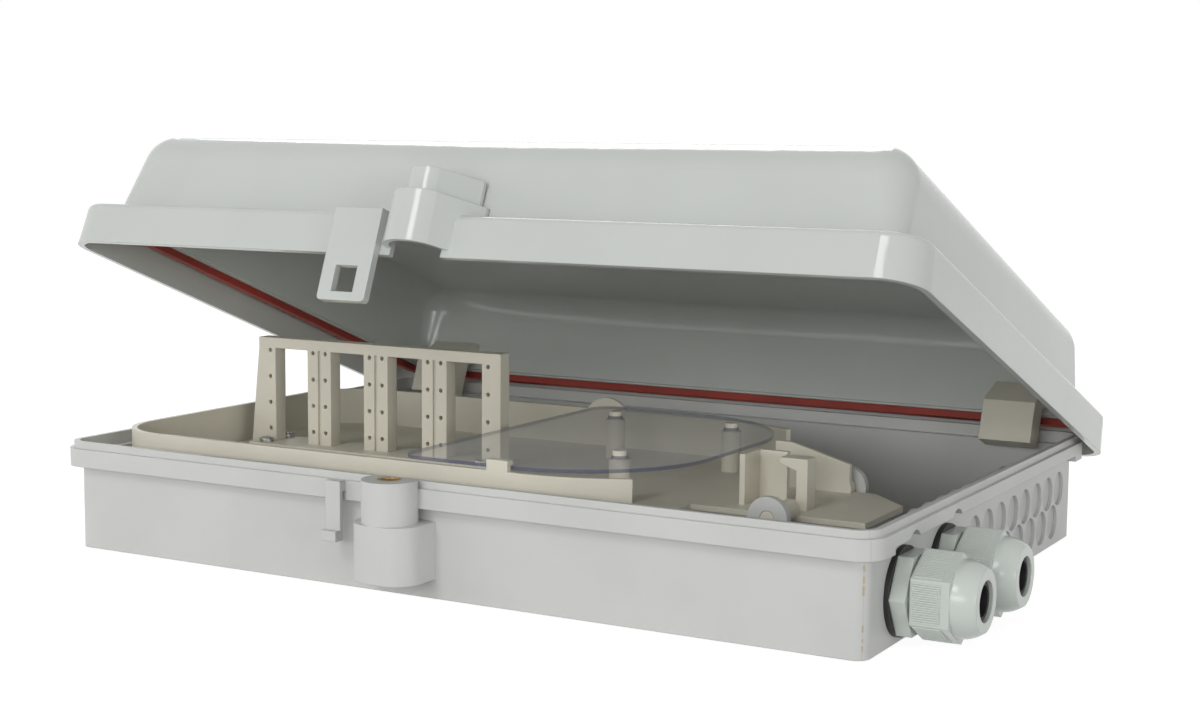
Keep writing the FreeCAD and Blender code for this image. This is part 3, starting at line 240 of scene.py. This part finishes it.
class Finish:
    """Nodes of one procedural material, or of the world."""

    def __init__(self, owner):
        self.owner = owner
        owner.use_nodes = True
        self.tree = owner.node_tree
        self.tree.nodes.clear()

    def node(self, kind, settings=None, values=None, output=0):
        """A node of any kind, its settings first and then its sockets."""
        made = self.tree.nodes.new(kind)
        for key, value in (settings or {}).items():
            setattr(made, key, value)
        for key, value in (values or {}).items():
            if isinstance(value, Wire):
                self.tree.links.new(value.socket, made.inputs[key])
            else:
                made.inputs[key].default_value = value
        return Wire(self, made.outputs[output])

    def place(self):
        """Object coordinates."""
        return self.node("ShaderNodeTexCoord", output="Object")

    def axes(self):
        """The three coordinates as single values."""
        place = self.place()
        return [self.node("ShaderNodeSeparateXYZ", values={0: place}, output=axis) for axis in "XYZ"]

    def noise(self, scale, detail=2.0):
        """Cloudy noise from 0 to 1, its scale in waves per metre."""
        return self.node("ShaderNodeTexNoise", {"noise_dimensions": "3D"}, {
            "Vector": self.place(), "Scale": scale, "Detail": detail})

    def uneven(self, scale, spread):
        """Noise round 0, for what wavers a little."""
        return (self.noise(scale, 3.0) - 0.5) * spread

    def step(self, value, low, high):
        """0 below low, 1 above high and smooth between."""
        return self.node("ShaderNodeMapRange", {"interpolation_type": "SMOOTHSTEP"}, {
            0: value, 1: low, 2: high, 3: 0.0, 4: 1.0})

    def blend(self, mask, first, second):
        """One colour goes over to another."""
        def shade(colour):
            return colour if isinstance(colour, Wire) else (*colour, 1.0)
        return self.node("ShaderNodeMix", {"data_type": "RGBA"}, {
            MIX_FACTOR: mask, MIX_FIRST: shade(first), MIX_SECOND: shade(second)}, output=MIX_RESULT)

    def specks(self, scale, size):
        """Small round specks, 1 in a speck."""
        far = self.node("ShaderNodeTexVoronoi", {"feature": "F1"}, {
            "Vector": self.place(), "Scale": scale})
        return 1.0 - self.step(far, size * 0.5, size)

    def soft_edges(self, radius):
        """Normal with the edges rounded."""
        return self.node("ShaderNodeBevel", {"samples": 6}, {"Radius": radius})

    def grain(self, height, depth, radius):
        """Normal with rounded edges and a grain on it."""
        return self.node("ShaderNodeBump", None, {
            "Strength": 1.0, "Distance": depth, "Height": height, "Normal": self.soft_edges(radius)})

    def surface(self, colour, rough, normal, **constants):
        """Shader of the whole surface."""
        return self.node("ShaderNodeBsdfPrincipled", None, {
            "Base Color": colour, "Roughness": rough, "Normal": normal, **constants})

    def seen(self):
        """1 for what the camera sees, straight, mirrored or through glass."""
        camera, gloss, glass = [self.node("ShaderNodeLightPath", output="Is %s Ray" % kind)
                                for kind in ("Camera", "Glossy", "Transmission")]
        either = camera + gloss + glass
        return either.math("MINIMUM", either, 1.0)

    def done(self, shader, kind="ShaderNodeOutputMaterial"):
        """Ends the nodes with their shader."""
        out = self.tree.nodes.new(kind)
        self.tree.links.new(shader.socket, out.inputs[0])
        return self.owner


def new_finish(name):
    """An empty material."""
    return Finish(bpy.data.materials.new(name))


def darker(colour, amount):
    """The same colour with less light."""
    return tuple(part * amount for part in colour)


def grey(level):
    """A plain grey as a socket takes it."""
    return (level, level, level, 1.0)


def mould_finish(name, colour, rough, drift=0.95):
    """Colour and roughness of moulded plastic: cloudy, with a few specks of dirt."""
    made = new_finish(name)
    dirt_strength, dirt_shade = 0.5, 0.35
    clouds = made.step(made.noise(scale=26.0, detail=3.0), low=0.35, high=0.65)
    shade = made.blend(clouds, darker(colour, drift), colour)
    patches = made.step(made.noise(scale=9.0), low=0.5, high=0.62)
    dirt = made.specks(scale=70.0, size=0.022) * patches
    shade = made.blend(dirt * dirt_strength, shade, darker(colour, dirt_shade))
    return made, shade, rough + made.uneven(scale=140.0, spread=0.08)


def mould_grain(made, depth, scale):
    """Normal with rounded edges and the fine grain of a mould."""
    return made.grain(made.noise(scale), depth, bpy.context.scene.box_details.edge)


def plain_mould(name, colour, rough, depth, scale, drift=0.95):
    """Moulded plastic or rubber with nothing but its grain."""
    made, shade, roughness = mould_finish(name, colour, rough, drift)
    return made.done(made.surface(shade, roughness, mould_grain(made, depth, scale)))


def base_plastic():
    """Matt base with a parting line and small yellow stains on the near right corner."""
    finishes = bpy.context.scene.box_finishes
    details = bpy.context.scene.box_details
    made, shade, roughness = mould_finish("base_plastic", finishes.base_white, finishes.base_rough)
    fade, line_strength, line_shade, stain_strength = 0.0004, 0.22, 0.45, 0.6
    x, y, z = made.axes()
    out_x = x - details.corner_x
    out_y = 0.0 - y - details.corner_y
    corner = made.step(out_x, 0.0, fade) * made.step(out_y, 0.0, fade)
    aside = abs(out_x - out_y)
    line = (1.0 - made.step(aside, details.parting, 3.0 * details.parting)) * corner
    shade = made.blend(line * line_strength, shade, darker(finishes.base_white, line_shade))
    ragged = made.uneven(scale=900.0, spread=0.0009)
    spots = 0.0
    for rise, tall, wide in STAINS:
        up = 1.0 - made.step(abs(z - rise) + ragged, tall * 0.5, tall)
        over = 1.0 - made.step(aside + ragged, wide * 0.3, wide)
        spots = up * over + spots
    shade = made.blend(spots * corner * stain_strength, shade, finishes.stain)
    normal = mould_grain(made, depth=0.00003, scale=2400.0)
    return made.done(made.surface(shade, roughness, normal))


def lid_plastic():
    """Glossy lid with the slight waves of a large moulding."""
    finishes = bpy.context.scene.box_finishes
    made, shade, roughness = mould_finish("lid_plastic", finishes.lid_white, finishes.lid_rough,
                                          drift=0.97)
    fine_share = 0.006
    waves = made.noise(scale=34.0) + made.noise(scale=900.0) * fine_share
    normal = made.grain(waves, depth=0.00016, radius=bpy.context.scene.box_details.edge)
    return made.done(made.surface(shade, roughness, normal))


def tray_plastic():
    """Cream satin plastic of the tray, the panel and the hinge blocks."""
    cream = bpy.context.scene.box_finishes.tray_cream
    return plain_mould("tray_plastic", cream, rough=0.42, depth=0.00002, scale=1800.0, drift=0.93)


def plug_plastic():
    """Grey white blanking plugs."""
    grey_white = bpy.context.scene.box_finishes.plug_grey
    return plain_mould("plug_plastic", grey_white, rough=0.45, depth=0.00002, scale=2000.0)


def gland_plastic():
    """Glossy cable glands."""
    white = bpy.context.scene.box_finishes.gland_white
    return plain_mould("gland_plastic", white, rough=0.22, depth=0.00001, scale=1500.0, drift=0.97)


def gland_ribs():
    """Glossy ribs and threads, whose round edges are modelled."""
    white = bpy.context.scene.box_finishes.gland_white
    made, shade, roughness = mould_finish("gland_ribs", white, rough=0.34, drift=0.97)
    normal = made.node("ShaderNodeBump", None, {
        "Strength": 1.0, "Distance": 0.000002, "Height": made.noise(scale=1500.0)})
    return made.done(made.surface(shade, roughness, normal))


def black_rubber():
    """Black seals and washers."""
    black = bpy.context.scene.box_finishes.rubber_black
    return plain_mould("black_rubber", black, rough=0.55, depth=0.00003, scale=2600.0, drift=0.7)


def gasket_rubber():
    """Dark red foam gasket with an uneven colour."""
    red = bpy.context.scene.box_finishes.gasket_red
    return plain_mould("gasket_rubber", red, rough=0.62, depth=0.00008, scale=1500.0, drift=0.75)


def turned_metal(name, colour, rough):
    """Metal with fine turning marks."""
    made = new_finish(name)
    dull, spread = 0.8, 0.2
    marks = made.noise(scale=1600.0, detail=3.0)
    clouds = made.step(made.noise(scale=300.0), low=0.4, high=0.6)
    shade = made.blend(clouds, darker(colour, dull), colour)
    normal = made.grain(marks, depth=0.00001, radius=bpy.context.scene.box_details.edge * 0.5)
    return made.done(made.surface(shade, rough + (marks - 0.5) * spread, normal, Metallic=1.0))


def clear_sheet():
    """Clear cover, blue at its cut edges and mirror-like at a low angle."""
    finishes = bpy.context.scene.box_finishes
    made = new_finish("cover_clear")
    straight_sheen, mirror, haze, dust_cover, edge_cover = 0.04, 0.6, 0.015, 0.025, 0.5
    normal = made.node("ShaderNodeNewGeometry", output="Normal")
    upright = abs(made.node("ShaderNodeSeparateXYZ", values={0: normal}, output="Z"))
    edge = 1.0 - made.step(upright, low=0.3, high=0.7)
    facing_away = made.node("ShaderNodeLayerWeight", None, {"Blend": 0.5}, output="Facing")
    sheen = facing_away ** 5.0 * (1.0 - straight_sheen) + straight_sheen
    dust = made.step(made.noise(scale=60.0, detail=4.0), low=0.40, high=0.75) * dust_cover
    shade = made.blend(edge, (0.74, 0.74, 0.75), finishes.cover_blue)
    scuffs = 0.10 + made.uneven(scale=220.0, spread=0.06)
    ripple = made.grain(made.noise(scale=45.0), depth=0.00006, radius=0.0002)
    body = made.surface(shade, scuffs, ripple, IOR=1.49)
    through = made.node("ShaderNodeBsdfTransparent", None, {0: (0.985, 0.985, 0.988, 1.0)})
    amount = edge * edge_cover + (1.0 - edge) * (sheen * mirror + dust + haze)
    return made.done(made.node("ShaderNodeMixShader", None, {0: amount, 1: through, 2: body}))


def dress(material, *names):
    """Gives CAD nodes their finish."""
    for name in names:
        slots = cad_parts[name].data.materials
        slots.clear()
        slots.append(material)


def begin(add, **options):
    """Adds a primitive at the origin and opens it for shaping."""
    if bpy.context.mode != "OBJECT":
        bpy.ops.object.mode_set(mode="OBJECT")
    bpy.ops.object.select_all(action="DESELECT")
    add(location=ORIGIN, **options)
    made = bpy.context.active_object
    bpy.ops.object.mode_set(mode="EDIT")
    bpy.ops.mesh.select_all(action="SELECT")
    return made


def pick(made, kind, wanted):
    """Selects the faces or edges whose corner points pass a test."""
    bpy.ops.mesh.select_mode(type=kind)
    bpy.ops.mesh.select_all(action="DESELECT")
    bpy.ops.object.mode_set(mode="OBJECT")
    mesh = made.data
    for item in mesh.polygons if kind == "FACE" else mesh.edges:
        item.select = wanted([mesh.vertices[i].co for i in item.vertices])
    bpy.ops.object.mode_set(mode="EDIT")


def push(along):
    """Extrudes what is selected."""
    bpy.ops.mesh.extrude_region_move(TRANSFORM_OT_translate={"value": along})


def row(made, count, along):
    """Repeats a piece in a row."""
    bpy.ops.object.mode_set(mode="OBJECT")
    array = made.modifiers.new("row", "ARRAY")
    array.count = count
    array.use_relative_offset = False
    array.use_constant_offset = True
    array.constant_offset_displace = along
    bpy.ops.object.modifier_apply(modifier="row")
    bpy.ops.object.mode_set(mode="EDIT")
    bpy.ops.mesh.select_all(action="SELECT")


def end(made, name, body, material):
    """Closes a piece, gives it its finish and lets it ride on its body."""
    bpy.ops.mesh.select_all(action="SELECT")
    bpy.ops.mesh.normals_make_consistent(inside=False)
    bpy.ops.object.mode_set(mode="OBJECT")
    bpy.ops.object.shade_smooth_by_angle(angle=SMOOTH_ANGLE)
    made.name = name
    made.data.name = name
    made.data.materials.clear()
    made.data.materials.append(material)
    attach(made, body)


def middle(node):
    """Centre of a CAD node's box."""
    low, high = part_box(node)
    return (low + high) / 2.0


class BOX_OT_shells(bpy.types.Operator):
    """Finish the base, the lid and its gasket"""
    bl_idname = "box.shells"
    bl_label = "Base and lid"

    def execute(self, context):
        dress(base_plastic(), "base_tray")
        dress(lid_plastic(), "lid_shell")
        dress(gasket_rubber(), "lid_gasket")
        return {"FINISHED"}


class BOX_OT_tray(bpy.types.Operator):
    """Finish the splice tray, its cover, the adapter panel and the hinge blocks"""
    bl_idname = "box.tray"
    bl_label = "Splice tray and panel"

    def execute(self, context):
        dress(tray_plastic(), "splice_tray", "adapter_panel",
              "hinge_block_left", "hinge_block_right")
        dress(clear_sheet(), "clear_cover")
        return {"FINISHED"}


class BOX_OT_ports(bpy.types.Operator):
    """Model the blanking plugs in the drop ports"""
    bl_idname = "box.ports"
    bl_label = "Port plugs"

    def execute(self, context):
        details = context.scene.box_details
        low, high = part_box("port_plugs")
        collar = details.plug_collar
        deep = high.x - low.x - details.plug_step
        made = begin(bpy.ops.mesh.primitive_cylinder_add, vertices=PLUG_SIDES, radius=collar,
                     depth=deep)
        bpy.ops.transform.rotate(value=QUARTER_TURN, orient_axis="Y", center_override=ORIGIN)
        self.face(made, details, deep / 2.0)
        pick(made, "EDGE", lambda points: all(co.x < -deep / 2.0 * AT_END for co in points))
        bpy.ops.mesh.bevel(offset=details.plug_round, segments=3, affect="EDGES")
        upper, lower = high.z - collar, low.z + collar
        bpy.ops.mesh.select_all(action="SELECT")
        bpy.ops.transform.translate(value=(low.x + deep / 2.0, high.y - collar, upper))
        bpy.ops.mesh.duplicate_move(TRANSFORM_OT_translate={
            "value": (0.0, -details.port_pitch / 2.0, lower - upper)})
        row(made, details.port_count, (0.0, -details.port_pitch, 0.0))
        end(made, "blanking_plugs", "base", plug_plastic())
        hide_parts("port_plugs")
        return {"FINISHED"}

    def face(self, made, details, reach):
        """Shank and dished face on the outer end of a plug."""
        pick(made, "FACE", lambda points: all(co.x > reach * AT_END for co in points))
        bpy.ops.mesh.inset(thickness=details.plug_collar - details.plug_shank)
        push((details.plug_step, 0.0, 0.0))
        for part in DISH_STEPS:
            bpy.ops.mesh.inset(thickness=details.plug_shank * DISH_RING)
            bpy.ops.transform.translate(value=(-details.plug_dish * part, 0.0, 0.0))


class BOX_OT_metal(bpy.types.Operator):
    """Finish the pins and the lock, and model the panel screws"""
    bl_idname = "box.metal"
    bl_label = "Screws and insert"

    def execute(self, context):
        finishes = context.scene.box_finishes
        steel = turned_metal("steel", finishes.steel, rough=0.44)
        dress(steel, "lock_screw", "hinge_pin_left", "hinge_pin_right")
        dress(turned_metal("insert_brass", finishes.brass, rough=0.36), "lock_insert")
        self.screws(context.scene.box_details, steel)
        return {"FINISHED"}

    def screws(self, details, steel):
        """Four domed screws with crossed slots in the feet of the panel."""
        low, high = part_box("panel_screws")
        head, rise = details.screw_head, details.screw_rise
        made = begin(bpy.ops.mesh.primitive_cylinder_add, vertices=SCREW_SIDES, radius=head,
                     depth=rise)
        pick(made, "EDGE", lambda points: all(co.z > rise / 2.0 * AT_END for co in points))
        bpy.ops.mesh.bevel(offset=details.screw_round, segments=4, affect="EDGES")
        pick(made, "FACE", lambda points: all(co.z < -rise / 2.0 * AT_END for co in points))
        bpy.ops.mesh.inset(thickness=head - details.screw_shank)
        push((0.0, 0.0, low.z - high.z + rise))
        self.cross(made, details, rise / 2.0)
        bpy.ops.mesh.select_all(action="SELECT")
        bpy.ops.transform.translate(value=(low.x + head, low.y + head, high.z - rise / 2.0))
        bpy.ops.mesh.duplicate_move(TRANSFORM_OT_translate={
            "value": (0.0, high.y - low.y - 2.0 * head, 0.0)})
        row(made, 2, (high.x - low.x - 2.0 * head, 0.0, 0.0))
        end(made, "panel_screw_set", "base", steel)
        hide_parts("panel_screws")

    def cross(self, made, details, top):
        """Cuts two crossed slots into the head of a screw."""
        cutter = begin(bpy.ops.mesh.primitive_cube_add, size=1.0)
        bpy.ops.transform.resize(value=(
            details.slot_length, details.slot_width, 2.0 * details.slot_depth))
        bpy.ops.mesh.duplicate()
        bpy.ops.transform.rotate(value=QUARTER_TURN, orient_axis="Z", center_override=ORIGIN)
        bpy.ops.mesh.select_all(action="SELECT")
        bpy.ops.transform.translate(value=(0.0, 0.0, top))
        bpy.ops.object.mode_set(mode="OBJECT")
        bpy.ops.object.select_all(action="DESELECT")
        made.select_set(True)
        bpy.context.view_layer.objects.active = made
        slots = made.modifiers.new("cross", "BOOLEAN")
        slots.operation = "DIFFERENCE"
        slots.use_self = True
        slots.object = cutter
        bpy.ops.object.modifier_apply(modifier="cross")
        bpy.data.objects.remove(cutter)
        bpy.ops.object.mode_set(mode="EDIT")


class BOX_OT_glands(bpy.types.Operator):
    """Finish the cable glands, and model the ribs on their nuts and the threads inside the box"""
    bl_idname = "box.glands"
    bl_label = "Cable glands"

    def execute(self, context):
        plastic = gland_plastic()
        ribbed = gland_ribs()
        rubber = black_rubber()
        for side in GLANDS:
            node = "gland_%s_" % side
            dress(plastic, node + "body", node + "nut", node + "locknut")
            dress(rubber, node + "washer", node + "seal")
            self.ribs(context, side, ribbed)
            self.thread(context, side, ribbed)
        return {"FINISHED"}

    def ribs(self, context, side, ribbed):
        """Fine ribs along the six flats of one nut."""
        details = context.scene.box_details
        node = "gland_%s_nut" % side
        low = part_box(node)[0]
        axis = middle(node)
        wide = details.rib_pitch * RIB_WIDTH
        made = begin(bpy.ops.mesh.primitive_cube_add, size=1.0)
        bpy.ops.transform.resize(value=(details.rib_length, 2.0 * details.rib_height, wide))
        pick(made, "EDGE", lambda points: all(co.y < 0.0 for co in points)
             and abs(points[0].z - points[1].z) < wide * LEVEL)
        bpy.ops.mesh.bevel(offset=wide * RIB_ROUND, segments=2, affect="EDGES")
        bpy.ops.mesh.select_all(action="SELECT")
        span = details.rib_pitch * (details.rib_count - 1)
        along = low.x + details.rib_start + details.rib_length / 2.0
        bpy.ops.transform.translate(value=(along, low.y, axis.z - span / 2.0))
        row(made, details.rib_count, (0.0, 0.0, details.rib_pitch))
        bpy.ops.mesh.spin(steps=NUT_FLATS - 1, dupli=True, angle=math.tau * (NUT_FLATS - 1) / NUT_FLATS,
                          center=(axis.x, axis.y, axis.z), axis=(1.0, 0.0, 0.0))
        end(made, node + "_ribs", "gland_nut_" + side, ribbed)

    def thread(self, context, side, ribbed):
        """Turns of the thread on the inner end of one gland body."""
        details = context.scene.box_details
        node = "gland_%s_body" % side
        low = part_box(node)[0]
        axis = middle(node)
        pitch, tall = details.thread_pitch, details.thread_height
        root, foot = details.thread_radius - tall, pitch * TURN_FOOT
        made = begin(bpy.ops.mesh.primitive_cylinder_add, vertices=THREAD_SIDES, radius=root,
                     depth=2.0 * foot, end_fill_type="NOTHING")
        bpy.ops.transform.rotate(value=QUARTER_TURN, orient_axis="Y", center_override=ORIGIN)
        bpy.ops.mesh.subdivide(number_cuts=1)
        pick(made, "EDGE", lambda points: all(abs(co.x) < foot * LEVEL for co in points))
        wide = (details.thread_radius + tall) / root
        bpy.ops.transform.resize(value=(1.0, wide, wide))
        bpy.ops.mesh.bevel(offset=pitch * TURN_ROUND, segments=2, affect="EDGES")
        bpy.ops.mesh.select_all(action="SELECT")
        bpy.ops.transform.translate(value=(low.x + foot + pitch * TURN_START, axis.y, axis.z))
        row(made, int(details.thread_length / pitch), (pitch, 0.0, 0.0))
        end(made, node + "_thread", "base", ribbed)


class BOX_OT_stage(bpy.types.Operator):
    """Set up the floor, the light and the camera"""
    bl_idname = "box.stage"
    bl_label = "Stage"

    def execute(self, context):
        self.floor(context)
        self.world(context)
        self.lamps(context)
        self.camera(context)
        context.scene.view_settings.view_transform = "Standard"
        return {"FINISHED"}

    def floor(self, context):
        """Wide white floor that keeps the shadow of the box."""
        stage = context.scene.box_stage
        bpy.ops.object.select_all(action="DESELECT")
        bpy.ops.mesh.primitive_plane_add(size=FLOOR_SIZE, location=(0.0, 0.0, -FLOOR_DROP))
        made = context.active_object
        made.name = "studio_floor"
        white = new_finish("studio_floor")
        bounce = white.node("ShaderNodeBsdfDiffuse", None, {0: grey(stage.floor_bounce)})
        shade = white.node("ShaderNodeBsdfDiffuse", None, {0: grey(stage.floor_shade)})
        level = 1.0 - stage.floor_shade * stage.sky
        glow = white.node("ShaderNodeEmission", None, {0: grey(1.0), 1: level})
        shown = white.node("ShaderNodeAddShader", None, {0: shade, 1: glow})
        made.data.materials.append(white.done(white.node(
            "ShaderNodeMixShader", None, {0: white.seen(), 1: bounce, 2: shown})))

    def world(self, context):
        """White all round, and a softer light on the box."""
        stage = context.scene.box_stage
        studio = Finish(bpy.data.worlds.new("studio"))
        level = studio.seen() * (1.0 - stage.sky) + stage.sky
        back = studio.node("ShaderNodeBackground", None, {0: grey(1.0), 1: level})
        context.scene.world = studio.done(back, "ShaderNodeOutputWorld")

    def lamps(self, context):
        """A small high lamp in front, wide low ones in front, left and right, and one behind."""
        for name, (place, size) in LAMPS.items():
            self.lamp(name, place, size, getattr(context.scene.box_stage, name))

    def lamp(self, name, place, size, power):
        """One flat lamp that faces the middle of the box."""
        light = bpy.data.lights.new(name, "AREA")
        light.shape = "RECTANGLE"
        light.size, light.size_y = size
        light.energy = power
        holder = bpy.data.objects.new(name, light)
        bpy.context.scene.collection.objects.link(holder)
        holder.location = place
        ahead = Vector(LAMP_AIM) - Vector(place)
        holder.rotation_euler = ahead.to_track_quat("-Z", "Y").to_euler()

    def camera(self, context):
        """Camera at the viewing angle of the photograph."""
        stage = context.scene.box_stage
        az, el, roll = stage.azimuth, stage.elevation, stage.roll
        ahead = Vector((-math.sin(az) * math.cos(el), math.cos(az) * math.cos(el), -math.sin(el)))
        right = Vector((math.cos(az), math.sin(az), 0.0))
        up = right.cross(ahead)
        tilt_right = right * math.cos(roll) + up * math.sin(roll)
        tilt_up = up * math.cos(roll) - right * math.sin(roll)
        lens = bpy.data.cameras.new("photo_camera")
        lens.lens = stage.lens
        lens.sensor_width = SENSOR_WIDTH
        lens.clip_start = CLIP_START
        holder = bpy.data.objects.new("photo_camera", lens)
        context.scene.collection.objects.link(holder)
        turn = Matrix((tilt_right, tilt_up, -ahead)).transposed()
        holder.matrix_world = Matrix.Translation(Vector(stage.eye)) @ turn.to_4x4()
        context.scene.camera = holder


STEPS = (BOX_OT_shells, BOX_OT_tray, BOX_OT_ports, BOX_OT_metal, BOX_OT_glands, BOX_OT_stage)


class VIEW3D_PT_fibre_box(bpy.types.Panel):
    """Lists the pieces of the box"""
    bl_idname = "VIEW3D_PT_fibre_box"
    bl_label = "Fibre Box"
    bl_space_type = "VIEW_3D"
    bl_region_type = "UI"
    bl_category = "Fibre Box"

    def draw(self, context):
        column = self.layout.column(align=True)
        for step in STEPS:
            column.operator(step.bl_idname)
        scene = context.scene
        for group in (scene.box_finishes, scene.box_details, scene.box_stage):
            box = self.layout.box()
            for key in group.__annotations__:
                box.prop(group, key)


CLASSES = (BoxFinishes, BoxDetails, BoxStage, *STEPS, VIEW3D_PT_fibre_box)


def register():
    """Adds the classes and their settings."""
    for item in CLASSES:
        bpy.utils.register_class(item)
    bpy.types.Scene.box_finishes = PointerProperty(type=BoxFinishes)
    bpy.types.Scene.box_details = PointerProperty(type=BoxDetails)
    bpy.types.Scene.box_stage = PointerProperty(type=BoxStage)


def unregister():
    """Takes the settings and the classes away again."""
    del bpy.types.Scene.box_stage
    del bpy.types.Scene.box_details
    del bpy.types.Scene.box_finishes
    for item in reversed(CLASSES):
        bpy.utils.unregister_class(item)


def main():
    """Builds the scene."""
    register()
    bpy.ops.box.shells()
    bpy.ops.box.tray()
    bpy.ops.box.ports()
    bpy.ops.box.metal()
    bpy.ops.box.glands()
    bpy.ops.box.stage()


if __name__ == "__main__":
    main()
